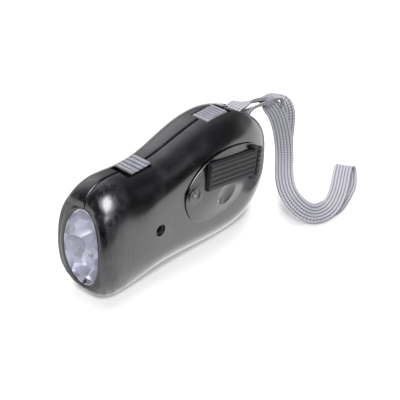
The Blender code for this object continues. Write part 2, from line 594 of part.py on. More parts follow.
def build_generator():
    """The iron core round the rotor, with the coil on the leg between its front edge and its window."""
    window = from_hub(CORE_WINDOW)
    loops = [from_hub(CORE_POINTS), circle(ROTOR_RADIUS + CORE_BORE, 28, ROTOR), window]
    place("stator_core", plate("stator_core", loops, CORE_LOW, CORE_HIGH), "steel", (0, 0, 0), FACE_X)
    low_z, high_z = window[0][1] + CLEAR, window[2][1] - CLEAR
    half_x, half_y = (CORE_HIGH - CORE_LOW) / 2 + CLEAR, CORE_LEG / 2 + CLEAR
    at = ((CORE_LOW + CORE_HIGH) / 2, window[0][0] - CORE_LEG / 2, 0)
    skin_x, skin_y = half_x + COIL_SKIN, half_y + COIL_SKIN
    bobbin = solids("coil_bobbin", [(-skin_x, skin_x, -skin_y, skin_y, low_z, high_z)])
    bobbin = place("coil_bobbin", bobbin, "black", at)
    reach = COIL_SKIN + COIL_WOUND
    ends = [
        (-half_x - reach, half_x + reach, -half_y - reach, half_y + reach, base, base + COIL_FLANGE)
        for base in (low_z, high_z - COIL_FLANGE)
    ]
    combine(bobbin, "UNION", place("bobbin_flanges", solids("bobbin_flanges", ends), None, at))
    core = (-half_x, half_x, -half_y, half_y, low_z - MM, high_z + MM)
    combine(bobbin, "DIFFERENCE", place("bobbin_bore", solids("bobbin_bore", [core]), None, at))

    def rectangle(margin):
        u, v = half_x + margin, half_y + margin
        return [(-u, -v), (u, -v), (u, v), (-u, v)]

    winding = plate(
        "coil_winding", [rectangle(reach - CLEAR), rectangle(COIL_SKIN + CLEAR)],
        low_z + COIL_FLANGE + CLEAR, high_z - COIL_FLANGE - CLEAR,
    )
    place("coil_winding", winding, "copper", at)


def smooth_closed(points, per_point):
    """A closed Catmull-Rom curve through the points."""
    out = []
    count = len(points)
    for i in range(count):
        a, b, c, d = (np.array(points[(i + k) % count], float) for k in (-1, 0, 1, 2))
        for step in range(per_point):
            t = step / per_point
            out.append(tuple(
                0.5 * (2 * b + (c - a) * t + (2 * a - 5 * b + 4 * c - d) * t * t
                       + (3 * b - a - 3 * c + d) * t ** 3)
            ))
    return out


def build_arm():
    outline = [(u * MM, v * MM) for u, v in smooth_closed(ARM_POINTS, 4)]
    centre_y = sum(u for u, _ in outline) / len(outline)
    centre_z = sum(v for _, v in outline) / len(outline)

    def ring(height, share):
        return [
            (ARM_LOW + height, centre_y + (u - centre_y) * share, centre_z + (v - centre_z) * share)
            for u, v in outline
        ]

    rise = ARM_CROWN - ARM_RIM
    rings = [ring(0, 1), ring(ARM_RIM, 1)]
    for share in (0.95, 0.8, 0.5, 0.05):
        rings.append(ring(ARM_RIM + rise * math.sqrt(1 - share ** 4), share))
    arm = place("crank_arm", loft("crank_arm", rings), "case", (0, *HUB))
    boss_top = ARM_LOW + HUB_BOSS_HEIGHT
    boss = solids("hub_boss", rods=[(0, 0, HUB_BOSS_RADIUS, ARM_LOW + 0.2 * MM, boss_top)], sides=20)
    combine(arm, "UNION", place("hub_boss", boss, None, (0, *HUB)))
    bores = solids("hub_bores", rods=[(0, 0, SHAFT_RADIUS + CLEAR, ARM_LOW - MM, HUB_FLOOR)])
    bores = place("hub_bores", bores, None, (0, *HUB))
    seat = solids("hub_seat", rods=[(0, 0, HUB_SEAT_RADIUS, HUB_FLOOR - 0.2 * MM, boss_top + MM)], sides=20)
    combine(arm, "DIFFERENCE", bores, place("hub_seat", seat, None, (0, *HUB)))
    combine(arm, "DIFFERENCE", grip_pocket(), grip_pin("grip_pin_holes", None, CLEAR))
    scoop = bmesh.new()
    bmesh.ops.create_uvsphere(scoop, u_segments=16, v_segments=10, radius=SCOOP_RADIUS)
    scoop_place = grip_point(-GRIP_LENGTH - SCOOP_BACK, 0, ARM_LOW + SCOOP_HEIGHT)
    combine(arm, "DIFFERENCE", place("finger_scoop", mesh_from(scoop, "finger_scoop"), None, scoop_place))


def grip_point(length, width, height):
    """A place on the grip's plane: along it from the hinge, across it, and out from the parting plane."""
    c, s = math.cos(GRIP_ANGLE), math.sin(GRIP_ANGLE)
    return (height, GRIP_HINGE_Y + length * c - width * s, GRIP_HINGE_Z + length * s + width * c)


GRIP_HINGE = (GRIP_AXIS_X, GRIP_HINGE_Y, GRIP_HINGE_Z)
GRIP_TURN = (GRIP_ANGLE, 0, 0)


def grip_pocket():
    rear = math.hypot(GRIP_HALF, HEEL_START) + 0.15 * MM
    side = GRIP_WIDTH / 2 + CLEAR
    floor = ARM_LOW + GRIP_FLOOR - GRIP_AXIS_X
    pocket = solids("grip_pocket", [(floor, 9 * MM, -GRIP_LENGTH - CLEAR, rear, -side, side)])
    return place("grip_pocket", pocket, None, GRIP_HINGE, GRIP_TURN)


def rod_across(name, radius, length, sides=16):
    """A rod along its own Z, centred."""
    bm = bmesh.new()
    bmesh.ops.create_cone(bm, cap_ends=True, segments=sides, radius1=radius, radius2=radius, depth=length)
    return mesh_from(bm, name)


def grip_pin(name, finish, extra):
    mesh = rod_across(name, GRIP_PIN_RADIUS + extra, GRIP_PIN_LENGTH + 2 * extra)
    return place(name, mesh, finish, GRIP_HINGE, GRIP_TURN)


def build_grip():
    """The ribbed grip, folded flat; its ribs run along it and its heel is round about the hinge."""
    ribs = 6
    half = GRIP_WIDTH / 2
    pitch = GRIP_WIDTH / ribs
    outline = [(-half, -GRIP_HALF), (half, -GRIP_HALF)]
    for rib in range(ribs):
        right = half - rib * pitch
        for u, v in ((0.0, 0.0), (0.2, GRIP_RIB), (0.75, GRIP_RIB), (0.95, 0.0)):
            outline.append((right - u * pitch, GRIP_HALF + v))
    outline.append((-half, GRIP_HALF))
    body = plate("crank_grip", [outline], HEEL_START, GRIP_LENGTH)
    grip = place("crank_grip", body, "grip", GRIP_HINGE, GRIP_TURN)
    for vert in body.vertices:
        across, out, back = vert.co
        vert.co = (out, -back, across)
    fix = bmesh.new()
    fix.from_mesh(body)
    bmesh.ops.recalc_face_normals(fix, faces=fix.faces)
    fix.to_mesh(body)
    fix.free()
    heel = rod_across("grip_heel", HEEL_RADIUS, GRIP_WIDTH - 0.2 * MM, 24)
    combine(grip, "UNION", place("grip_heel", heel, None, GRIP_HINGE, GRIP_TURN))
    combine(grip, "DIFFERENCE", grip_pin("grip_bore", None, CLEAR))


def build_hub():
    """The drive shaft with its threaded hole, and the washer and screw that hold the arm on it."""
    shaft_low, shaft_top = PLATE_LOW + CLEAR, HUB_FLOOR - CLEAR
    thread, thread_hole = HUB_SCREW_RADIUS, HUB_SCREW_RADIUS + CLEAR
    hole_floor = shaft_top - HUB_THREAD
    turned("drive_shaft", [
        (0, hole_floor), (thread_hole, hole_floor), (thread_hole, shaft_top),
        (SHAFT_RADIUS, shaft_top), (SHAFT_RADIUS, shaft_low), (0, shaft_low),
    ], "steel", (0, *HUB), AXIS_X)
    washer_low = HUB_FLOOR + CLEAR
    washer_high = washer_low + HUB_WASHER
    turned("hub_washer", [
        (thread_hole, washer_high), (HUB_WASHER_RADIUS, washer_high), (HUB_WASHER_RADIUS, washer_low),
        (thread_hole, washer_low),
    ], "steel", (0, *HUB), AXIS_X, 20)
    low, high = washer_high + CLEAR, washer_high + CLEAR + HUB_HEAD
    socket, tip = high - 0.4 * MM, hole_floor + 0.5 * MM
    turned("hub_screw", [
        (0, socket), (HUB_SOCKET_RADIUS, socket), (HUB_SOCKET_RADIUS, high), (HUB_HEAD_RADIUS, high),
        (HUB_HEAD_RADIUS, low), (thread, low), (thread, tip), (0, tip),
    ], "steel", (0, *HUB), AXIS_X, 24)


def build_slide(name, middle, length, width, floor, height, ribs, board_z):
    """A ribbed slide cap on the case's top, with a stem down into the switch on the board under it."""
    low, high = floor + CLEAR, floor + CLEAR + height
    stem_low = board_z + BOARD + CLEAR + SWITCH_HEIGHT - STEM_DEPTH
    pitch = length / ribs
    outline = [(-length / 2, low), (length / 2, low)]
    for rib in range(ribs):
        rear = length / 2 - rib * pitch
        for u, v in ((0.0, 0.5), (0.15, 1.0), (0.6, 1.0), (0.75, 0.0), (0.98, 0.0)):
            outline.append((rear - u * pitch, high + v * RIB_HEIGHT))
    outline.append((-length / 2, high))
    cap = place(
        name, plate(name, [outline], -width / 2, width / 2), "grey", (0, middle, 0), FACE_X
    )
    stem = (-STEM_HALF, STEM_HALF, -STEM_REACH, STEM_REACH, stem_low, low + 0.5 * MM)
    stem = solids(name + "_stem", [stem])
    combine(cap, "UNION", place(name + "_stem", stem, None, (0, middle, 0)))


def build_switch(name, middle, base, travel, direction):
    """A switch body whose groove takes the slide's stem over its whole travel."""
    top = base + SWITCH_HEIGHT
    block = (-SWITCH_HALF_WIDTH, SWITCH_HALF_WIDTH, -SWITCH_HALF, SWITCH_HALF, base, top)
    body = place(name, solids(name, [block]), "black", (0, middle, 0))
    reach = sorted((0, direction * travel))
    groove = solids(name + "_groove", [(
        -STEM_HALF - CLEAR, STEM_HALF + CLEAR, reach[0] - STEM_REACH - CLEAR, reach[1] + STEM_REACH + CLEAR,
        top - STEM_DEPTH - CLEAR, top + MM,
    )])
    combine(body, "DIFFERENCE", place(name + "_groove", groove, None, (0, middle, 0)))


def slide_cuts(name, middle, length, width, floor, travel, direction):
    """The pocket that the cap runs in and the slot that its stem runs in."""
    reach = sorted((0, direction * (travel + 0.1 * MM)))
    margin = CLEAR + 0.1 * MM
    pocket = (
        -width / 2 - margin, width / 2 + margin, middle - length / 2 - margin + reach[0],
        middle + length / 2 + margin + reach[1], floor, floor + 12 * MM,
    )
    slot = (
        -STEM_HALF - CLEAR, STEM_HALF + CLEAR, middle - STEM_REACH - CLEAR + reach[0],
        middle + STEM_REACH + CLEAR + reach[1], floor - 6 * MM, floor + MM,
    )
    return [
        place(f"{name}_pocket", solids(f"{name}_pocket", [pocket])),
        place(f"{name}_slot", solids(f"{name}_slot", [slot])),
    ]


def build_power_parts():
    nose = SOCKET_LENGTH + SOCKET_STEP
    body = [
        (SOCKET_BORE, nose), (SOCKET_NOSE, nose), (SOCKET_NOSE, SOCKET_LENGTH),
        (SOCKET_RADIUS, SOCKET_LENGTH), (SOCKET_RADIUS, 0), (0, 0),
    ]
    pin = [
        (0, SOCKET_LENGTH), (SOCKET_PIN, SOCKET_LENGTH), (SOCKET_PIN, SOCKET_FLOOR),
        (SOCKET_BORE, SOCKET_FLOOR),
    ]
    inner = SIDE_FLAT - WALL - CLEAR - SOCKET_LENGTH
    turned("charging_socket", pin + body, "black", (inner, SOCKET_Y, SOCKET_Z), AXIS_X, 18)
    for number in range(CELL_COUNT):
        low = CELL_LOW + number * (CELL_HEIGHT + CLEAR)
        high = low + CELL_HEIGHT
        profile = [
            (0, high), (CELL_RADIUS - MM, high), (CELL_RADIUS, high - MM), (CELL_RADIUS, low), (0, low),
        ]
        turned(f"cell_{number + 1}", profile, "steel", (0, CELL_Y, CELL_Z), AXIS_X, 20)
    stack = CELL_COUNT * (CELL_HEIGHT + CLEAR)
    top = MAIN_BOARD_Z - CLEAR - CELL_Z
    turns = [math.radians(114 - 29.4 * step) for step in range(11)]
    disc = [(CONTACT_REACH * math.cos(a), CONTACT_REACH * math.sin(a)) for a in turns]
    outline = [(disc[0][0], top), *disc, (-CONTACT_REACH, top)]
    ends = {"contact_negative": CELL_LOW - CLEAR - CONTACT, "contact_positive": CELL_LOW + stack}
    for name, low in ends.items():
        contact = plate(name, [outline], low, low + CONTACT)
        place(name, contact, "steel", (0, CELL_Y, CELL_Z), FACE_X)
    inside, outside = CELL_RADIUS + CLEAR, CELL_RADIUS + CLEAR + TRAY_WALL
    turns = [math.radians(180 + 15 * step) for step in range(13)]
    cradle = [(outside * math.cos(a), outside * math.sin(a)) for a in turns]
    cradle += [(inside * math.cos(a), inside * math.sin(a)) for a in turns[::-1]]
    tray = plate("cell_tray", [cradle], CELL_LOW, CELL_LOW + stack - CLEAR)
    place("cell_tray", tray, "black", (0, CELL_Y, CELL_Z), FACE_X)


def build_boards():
    top, upper = MAIN_BOARD_Z + BOARD, REAR_BOARD_Z + BOARD
    main = (-BOARD_HALF, BOARD_HALF, MAIN_BOARD_FRONT, MAIN_BOARD_REAR, MAIN_BOARD_Z, top)
    place("main_board", solids("main_board", [main]), "board")
    build_switch("power_switch", POWER_Y, top + CLEAR, POWER_TRAVEL, -1)
    rear = (-BOARD_HALF, BOARD_HALF, REAR_BOARD_FRONT, REAR_BOARD_REAR, REAR_BOARD_Z, upper)
    place("rear_board", solids("rear_board", [rear]), "board")
    build_switch("rear_switch", REAR_Y, upper + CLEAR, REAR_TRAVEL, 1)
    radius, height = CAPACITOR_RADIUS, CAPACITOR_HEIGHT
    turned("capacitor", [
        (0, height), (radius - CLEAR, height), (radius, height - CLEAR), (radius, 0), (0, 0),
    ], "black", (*CAPACITOR_AT, top + CLEAR), (0, 0, 0), 12)
    for number, y in enumerate(RECTIFIERS, 1):
        name = f"rectifier_{number}"
        rod = solids(name, rods=[(0, 0, RECTIFIER_RADIUS, -RECTIFIER_HALF, RECTIFIER_HALF)], sides=12)
        place(name, rod, "black", (RECTIFIER_X, y, top + CLEAR + RECTIFIER_RADIUS))


def build_case_screws():
    seat = SCREW_SEAT - CLEAR
    for name, (y, z) in SCREW_PLACES.items():
        turned(f"case_screw_{name}", [
            (0, seat + SCREW_LENGTH), (SCREW_RADIUS, seat + SCREW_LENGTH), (SCREW_RADIUS, seat),
            (SCREW_HEAD_RADIUS, seat), (SCREW_HEAD_RADIUS, seat - SCREW_HEAD), (1 * MM, seat - SCREW_HEAD),
            (1 * MM, seat - 0.8 * MM), (0, seat - 0.8 * MM),
        ], "steel", (0, y, z), AXIS_X, 16)


def cut_rods(name, rods, sides=12):
    return place(name, solids(name, rods=rods, sides=sides))


def build_case():
    far = 30 * MM
    inner = SIDE_FLAT - WALL
    hole = SCREW_RADIUS + CLEAR
    bar_seat = (BAR_Y - 3.5 * MM, BAR_Y + 5.5 * MM, BAR_Z - 4.5 * MM, BAR_Z + 9 * MM)
    main = (MAIN_BOARD_FRONT, MAIN_BOARD_REAR, MAIN_BOARD_Z)
    rear = (REAR_BOARD_FRONT, REAR_BOARD_REAR, REAR_BOARD_Z)
    main_ledge, rear_ledge = (
        (low + LEDGE_END, high - LEDGE_END, z - LEDGE, z - CLEAR) for low, high, z in (main, rear)
    )
    led_rib_rear = FRONT + REFLECTOR_BACK + LED_RIB_BACK
    ledges = [
        (-far, -LEDGE_X, *main_ledge), (-far, -LEDGE_X, *rear_ledge), (-far, -SLOT_HALF, *bar_seat),
        (-far, -BOARD_HALF - CLEAR, led_rib_rear - LEDGE, led_rib_rear, LED_RIB_LOW, LED_RIB_HIGH),
    ]
    left_bosses = [(y, z, BOSS_LEFT, -far, 0) for y, z in SCREW_PLACES.values()]
    posts = [(y, z, CORE_POST, -far, CORE_LOW - CLEAR) for y, z in from_hub(CORE_POSTS)]
    posts += [(CELL_Y, CELL_Z, 3 * MM, -far, CELL_LOW - CONTACT - 2 * CLEAR)]
    bearing = [(*ROTOR, 2.6 * MM, -far, ROTOR_LOW - CLEAR)]
    left_fittings = [
        place("left_ledges", solids("left_ledges", boxes=ledges)),
        cut_rods("left_bosses", left_bosses + posts + bearing),
    ]
    left_cuts = [
        cut_rods("left_counterbores", [
            (y, z, SCREW_HEAD_RADIUS + CLEAR, -far, SCREW_SEAT) for y, z in SCREW_PLACES.values()
        ]),
        cut_rods("left_screw_holes", [(y, z, hole, SCREW_SEAT - MM, MM) for y, z in SCREW_PLACES.values()]),
        cut_rods("left_bearing_hole", [
            (*ROTOR, ROTOR_SHAFT_RADIUS + CLEAR, ROTOR_LOW - 2.8 * MM, ROTOR_LOW + MM),
        ], 16),
    ]
    right_bosses = [(y, z, BOSS_RIGHT, 0, far) for y, z in SCREW_PLACES.values()]
    first_wheel = layer(1)[1]
    right_bosses += [
        (*HUB, 5 * MM, layer(0)[1] + CLEAR, far),
        (*STAGE_1, 2.6 * MM, layer(0)[1] + CLEAR, far),
        (*STAGE_2, 2.6 * MM, first_wheel + CLEAR, far),
        (*ROTOR, 2.4 * MM, layer(2)[1] + CLEAR, far),
    ]
    right_ledges = [(LEDGE_X, far, *main_ledge), (LEDGE_X, far, *rear_ledge), (SLOT_HALF, far, *bar_seat)]
    right_fittings = [
        place("right_ledges", solids("right_ledges", boxes=right_ledges)),
        cut_rods("right_bosses", right_bosses),
    ]
    right_cuts = [
        cut_rods("right_screw_holes", [
            (y, z, hole, -MM, SCREW_SEAT + SCREW_LENGTH + 0.6 * MM) for y, z in SCREW_PLACES.values()
        ]),
        cut_rods("hub_bore", [(*HUB, SHAFT_RADIUS + CLEAR, 0, far)]),
        cut_rods("axle_seats", [
            (*STAGE_1, AXLE_RADIUS + CLEAR, 4 * MM, inner + 0.7 * MM),
            (*STAGE_2, AXLE_RADIUS + CLEAR, 4 * MM, inner + 0.7 * MM),
            (*ROTOR, ROTOR_SHAFT_RADIUS + CLEAR, 4 * MM, layer(2)[1] + 2.6 * MM),
        ], 16),
        cut_rods("socket_hole", [(SOCKET_Y, SOCKET_Z, SOCKET_NOSE + CLEAR, inner - MM, far)], 24),
        finger_notch(),
    ]
    shared = slide_cuts("power", POWER_Y, POWER_LENGTH, POWER_WIDTH, POWER_POCKET_Z, POWER_TRAVEL, -1)
    shared += slide_cuts("rear", REAR_Y, REAR_LENGTH, REAR_WIDTH, REAR_POCKET_Z, REAR_TRAVEL, 1)
    shared += [
        place("strap_slot", solids("strap_slot", [
            (-SLOT_HALF, SLOT_HALF, SLOT_FRONT, SLOT_REAR, SLOT_FLOOR, SLOT_FLOOR + 20 * MM),
        ])),
        cut_rods("bar_hole", [(BAR_Y, BAR_Z, BAR_RADIUS + CLEAR, -BAR_HALF - CLEAR, BAR_HALF + CLEAR)], 16),
        place("lens_opening", loft("lens_opening", [
            oval(LENS_HALF_WIDTH, LENS_HALF_HEIGHT, -6 * MM), oval(LENS_HALF_WIDTH, LENS_HALF_HEIGHT, 9 * MM),
        ])),
    ]
    half_case("right_shell", 1, right_fittings, right_cuts + shared)
    half_case("left_shell", -1, left_fittings, left_cuts + shared)


def finger_notch():
    """The scoop in the case's edge behind the arm's tip, where a fingertip lifts the grip."""
    bm = bmesh.new()
    bmesh.ops.create_uvsphere(bm, u_segments=16, v_segments=10, radius=NOTCH_RADIUS)
    at = (SIDE_FLAT + NOTCH_OUT, HUB_Y + NOTCH_BACK, HUB_Z + NOTCH_RISE)
    return place("finger_notch", mesh_from(bm, "finger_notch"), None, at)


def smooth_route(route, per_step):
    """Places and face directions along a Catmull-Rom curve through the route's stops."""
    places = [np.array(place_at, float) * MM for place_at, _ in route]
    faces = [np.array(face, float) for _, face in route]
    found = []
    for i in range(len(route) - 1):
        a, b = places[max(i - 1, 0)], places[i]
        c, d = places[i + 1], places[min(i + 2, len(route) - 1)]
        for step in range(per_step):
            t = step / per_step
            spot = 0.5 * (2 * b + (c - a) * t + (2 * a - 5 * b + 4 * c - d) * t * t
                          + (3 * b - a - 3 * c + d) * t ** 3)
            found.append((spot, faces[i] * (1 - t) + faces[i + 1] * t))
    found.append((places[-1], faces[-1]))
    return found


def build_ribbon(name, route, per_step):
    stops = smooth_route(route, per_step)
    rings = []
    for i, (spot, face) in enumerate(stops):
        run = Vector(stops[min(i + 1, len(stops) - 1)][0] - stops[max(i - 1, 0)][0]).normalized()
        across = run.cross(Vector(face)).normalized()
        out = across.cross(run).normalized()
        half, thick = across * RIBBON_WIDTH / 2, out * RIBBON_THICKNESS / 2
        corners = (-half - thick, half - thick, half + thick, -half + thick)
        rings.append([Vector(spot) + corner for corner in corners])
    place(name, loft(name, rings), "ribbon")


def build_strap():
    rod = solids("strap_bar", rods=[(0, 0, BAR_RADIUS, -BAR_HALF, BAR_HALF)], sides=16)
    place("strap_bar", rod, "steel", (0, BAR_Y, BAR_Z))
    build_ribbon("strap_anchor", ANCHOR_ROUTE, 2)
    build_ribbon("strap_loop", HAND_ROUTE, 2)
    half = CRIMP_LENGTH / 2
    crimp = solids("strap_crimp", [(
        -RIBBON_WIDTH / 2 - 0.4 * MM, RIBBON_WIDTH / 2 + 0.4 * MM, CRIMP_Y - half, CRIMP_Y + half,
        CRIMP_Z - 2.9 * MM, CRIMP_Z + 2.6 * MM,
    )])
    place("strap_crimp", crimp, "ribbon")


build_case()
build_lens()
build_reflector()
build_leds()
build_drive_gear()
build_compound_gear("compound_gear_1", STAGE_1, 0, STAGE_ANGLES[0], STAGE_ANGLES[1])
build_compound_gear("compound_gear_2", STAGE_2, 1, STAGE_ANGLES[1], STAGE_ANGLES[2])
build_rotor()
build_train_frame()
build_generator()
build_arm()
build_grip()
grip_pin("grip_hinge_pin", "steel", 0)
build_hub()
build_slide("power_slide", POWER_Y, POWER_LENGTH, POWER_WIDTH, POWER_POCKET_Z, POWER_CAP, 5, MAIN_BOARD_Z)
build_slide("rear_slide", REAR_Y, REAR_LENGTH, REAR_WIDTH, REAR_POCKET_Z, REAR_CAP, 7, REAR_BOARD_Z)
build_power_parts()
build_boards()
build_case_screws()
build_strap()
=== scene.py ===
"""A hand-cranked dynamo flashlight in smoky glossy plastic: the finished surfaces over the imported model.

The file follows the flashlight as it is put together: the case, the light in its nose, the slides, the
crank, what is inside, the wrist strap, and then the studio that it stands in. The lens faces -Y, the
crank is on +X, and the case stands on the plane z = 0. All sizes are in metres."""

import math

import bmesh
import bpy
import numpy as np
from mathutils import Matrix


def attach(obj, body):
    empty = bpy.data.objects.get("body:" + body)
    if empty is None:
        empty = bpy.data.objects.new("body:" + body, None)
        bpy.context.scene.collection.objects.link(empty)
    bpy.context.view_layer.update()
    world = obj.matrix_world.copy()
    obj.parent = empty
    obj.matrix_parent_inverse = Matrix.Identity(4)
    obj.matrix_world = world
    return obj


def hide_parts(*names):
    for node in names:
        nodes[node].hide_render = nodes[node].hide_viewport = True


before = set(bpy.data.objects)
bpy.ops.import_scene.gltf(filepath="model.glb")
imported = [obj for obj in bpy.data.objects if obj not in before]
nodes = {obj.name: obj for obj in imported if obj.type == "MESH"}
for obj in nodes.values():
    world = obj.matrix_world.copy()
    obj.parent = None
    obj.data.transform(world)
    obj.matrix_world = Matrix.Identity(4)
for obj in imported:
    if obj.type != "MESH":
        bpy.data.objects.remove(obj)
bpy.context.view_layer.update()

# ---- Case: two halves moulded in smoky, slightly see-through plastic and polished in the mould.
# They meet on a plane that runs along the middle and are held by four screws from the left side.

MM = 0.001
PARTING_X = -0.6 * MM
LENGTH, WALL, SEAM = 114 * MM, 2 * MM, 0.45 * MM
FRONT_SHARE, WAIST_SHARE, REAR_SHARE, REAR_WIDTH_SHARE = 0.123, 0.311, 0.715, 0.669
SECTION_POWER, SHOULDER_EASE, TAIL_POWER = 3.1, 0.8, 2.6
SIDE_FLAT, RIGHT_EXTRA = 15.8 * MM, 1.6 * MM
NOSE_ROUNDING, RIGHT_ROUNDING, RIGHT_REACH = 1.7 * MM, 3.5 * MM, 9 * MM
SEAM_ROUNDING, FLAT_BLEND, GROUND_BLEND = 0.7 * MM, 0.35 * MM, 0.15 * MM
LIP_HEIGHT, RIM_DEPTH, RIM_CHAMFER, INNER_RIM = 0.3 * MM, 0.35 * MM, 0.15 * MM, 0.2 * MM
TONGUE_DEPTHS, TONGUE_HALF = (0.8 * MM, 1.5 * MM), 0.8 * MM
LENS_CENTRE_Z, LENS_HALF_WIDTH, LENS_HALF_HEIGHT = 25.9 * MM, 10.7 * MM, 18.7 * MM
SMOKE, CLOUD = (0.0035, 0.0035, 0.0042), 9


class Value:
    """A shader socket in a sum: an expression on values adds its Math nodes."""

    def __init__(self, finish, socket):
        self.finish, self.socket = finish, socket

    def math(self, operation, *others):
        return self.finish.node("Math", {"operation": operation}, self, *others)

    def __add__(self, other):
        return self.math("ADD", other)

    def __sub__(self, other):
        return self.math("SUBTRACT", other)

    def __mul__(self, other):
        return self.math("MULTIPLY", other)

    def __truediv__(self, other):
        return self.math("DIVIDE", other)

    def __rsub__(self, other):
        return self.math("MULTIPLY", -1) + other

    __radd__, __rmul__ = __add__, __mul__

    def clamped(self, low, high):
        """0 below low, 1 above high, and a smooth step between."""
        return self.finish.node(
            "MapRange", {"interpolation_type": "SMOOTHSTEP"}, self, low, high, 0.0, 1.0
        )


class Shading:
    """A node tree and the ways that this file adds nodes to it."""

    def __init__(self, tree):
        self.tree = tree

    def node(self, kind, settings, *values, output=0):
        """Any shader node: its settings first, then its sockets' values or links in order."""
        made = self.tree.nodes.new("ShaderNode" + kind)
        for name, setting in settings.items():
            setattr(made, name, setting)
        sockets = [s for s in made.inputs if s.enabled]
        for socket, value in zip(sockets, values):
            self.feed(socket, value)
        return Value(self, [s for s in made.outputs if s.enabled][output])

    def feed(self, socket, value):
        """Links a value to a socket, or sets the socket to a plain number, colour or vector."""
        if isinstance(value, Value):
            self.tree.links.new(value.socket, socket)
        elif value is not None:
            opaque = socket.type == "RGBA" and len(value) == 3
            socket.default_value = (*value, 1) if opaque else value

    def end(self, value):
        """Links what the surface or the world shows to the tree's output."""
        output = next(n for n in self.tree.nodes if n.type.startswith("OUTPUT"))
        self.tree.links.new(value.socket, output.inputs["Surface"])

    def place(self):
        """The point on the piece, in metres, as the model's own coordinates."""
        return self.node("TexCoord", {}, output=3)

    def ray(self, kind):
        """1 where the ray that meets the shader is of this kind, and 0 where it is another."""
        return Value(self, self.node("LightPath", {}).socket.node.outputs[f"Is {kind} Ray"])

    def noise(self, scale, detail=2.0, stretch=(1, 1, 1)):
        """Noise of 0 to 1 with this many waves a metre, drawn out where the stretch is below 1."""
        where = self.place()
        if stretch != (1, 1, 1):
            where = self.node("VectorMath", {"operation": "MULTIPLY"}, where, stretch)
        return self.node("TexNoise", {}, where, scale, detail, 0.5)

    def mix(self, share, first, second):
        """The first colour where share is 0 and the second where it is 1."""
        return self.node("Mix", {"data_type": "RGBA"}, share, first, second)


class Finish(Shading):
    """A material for one kind of piece, with its Principled shader."""

    def __init__(self, name, **sockets):
        self.material = bpy.data.materials.new(name)
        self.material.use_nodes = True
        super().__init__(self.material.node_tree)
        self.shader = self.tree.nodes["Principled BSDF"]
        self.surface(**sockets)

    def surface(self, **sockets):
        """Sets or links the shader's sockets, named as Blender names them with _ for a blank."""
        for name, value in sockets.items():
            self.feed(self.shader.inputs[name.replace("_", " ")], value)
        return self

    def bump(self, height, distance, strength=1.0):
        """A normal that follows the height, which is 0 to 1, over this distance in metres."""
        return self.surface(Normal=self.node("Bump", {}, strength, distance, None, height))


def grid_faces(rows, columns, wrap_rows=False, wrap_columns=False):
    """The corner numbers of every quad of a rows by columns grid, joined end to end where it wraps."""
    i = np.arange(rows - (not wrap_rows))[:, None]
    j = np.arange(columns - (not wrap_columns))[None, :]
    right, below = (j + 1) % columns, (i + 1) % rows
    corners = (i * columns + j, i * columns + right, below * columns + right, below * columns + j)
    return np.stack([c + 0 * (i + j) for c in corners], -1).reshape(-1, 4)


def piece(name, points, faces, finish, sharp=40):
    """A mesh object from points and faces: doubles merged, faces turned outwards, shaded smooth."""
    mesh = bpy.data.meshes.new(name)
    mesh.from_pydata(np.reshape(points, (-1, 3)).tolist(), [], [list(face) for face in faces])
    bm = bmesh.new()
    bm.from_mesh(mesh)
    bmesh.ops.remove_doubles(bm, verts=bm.verts, dist=2e-6)
    bmesh.ops.dissolve_degenerate(bm, edges=bm.edges, dist=1e-7)
    bmesh.ops.recalc_face_normals(bm, faces=bm.faces)
    if bm.calc_volume(signed=True) < 0:
        bmesh.ops.reverse_faces(bm, faces=bm.faces)
    bm.to_mesh(mesh)
    bm.free()
    mesh.shade_smooth()
    mesh.set_sharp_from_angle(angle=math.radians(sharp))
    obj = bpy.data.objects.new(name, mesh)
    bpy.context.scene.collection.objects.link(obj)
    if finish:
        mesh.materials.append(finish.material)
    return obj


def lobes(share, nose, front, waist, rear, tail, rear_share=REAR_SHARE, power=2):
    """A line along the case: a quarter ellipse up to the front lobe, smooth steps down to the waist and
    up to the rear lobe, and a power curve that closes the tail."""
    def step(amount, low, high):
        s = np.clip((share - low) / (high - low), 0, 1)
        return amount * s * s * (3 - 2 * s)

    rounding = np.sqrt(1 - (1 - np.minimum(share / FRONT_SHARE, 1)) ** 2)
    opening = nose + (front - nose) * rounding
    falling = step(waist - front, FRONT_SHARE, WAIST_SHARE)
    rising = step(rear - waist, WAIST_SHARE, rear_share)
    left = 1 - (np.maximum(share - rear_share, 0) / (1 - rear_share)) ** power
    closing = tail + (rear - tail) * np.maximum(left, 0) ** (1 / power)
    ahead = [share < FRONT_SHARE, share < rear_share]
    return np.select(ahead, [opening, front + falling + rising], closing)


def top_line(share):
    """Height of the case's top along its length."""
    return lobes(share, 45.1 * MM, 54.6 * MM, 53.0 * MM, 59.5 * MM, 32.3 * MM)


def bottom_line(share):
    """Height of the case's bottom along its length."""
    return lobes(share, 7.6 * MM, -0.5 * MM, 2.7 * MM, -0.5 * MM, 32.3 * MM)


def half_width(share, side):
    """Half width of one side of the case; the right side is a little fuller, to be pressed flat."""
    if side < 0:
        return lobes(share, 15.6 * MM, 14.8 * MM, 15.2 * MM, 19.3 * MM, 0, REAR_WIDTH_SHARE, TAIL_POWER)
    return lobes(
        share, 15.0 * MM, 15.2 * MM, 16.8 * MM, SIDE_FLAT + RIGHT_EXTRA, 0, REAR_WIDTH_SHARE, TAIL_POWER
    )


def nose_back(z):
    """How far the nose lies behind its foremost point at a height: a straight lean plus a bulge by the
    square of the height above the lens's middle."""
    rise = z - LENS_CENTRE_Z
    bulge, lean = 2 * MM, 0.084
    foremost = -((lean * LENS_HALF_HEIGHT) ** 2) / (4 * bulge)
    return lean * rise + bulge * np.minimum((rise / LENS_HALF_HEIGHT) ** 2, 1) - foremost


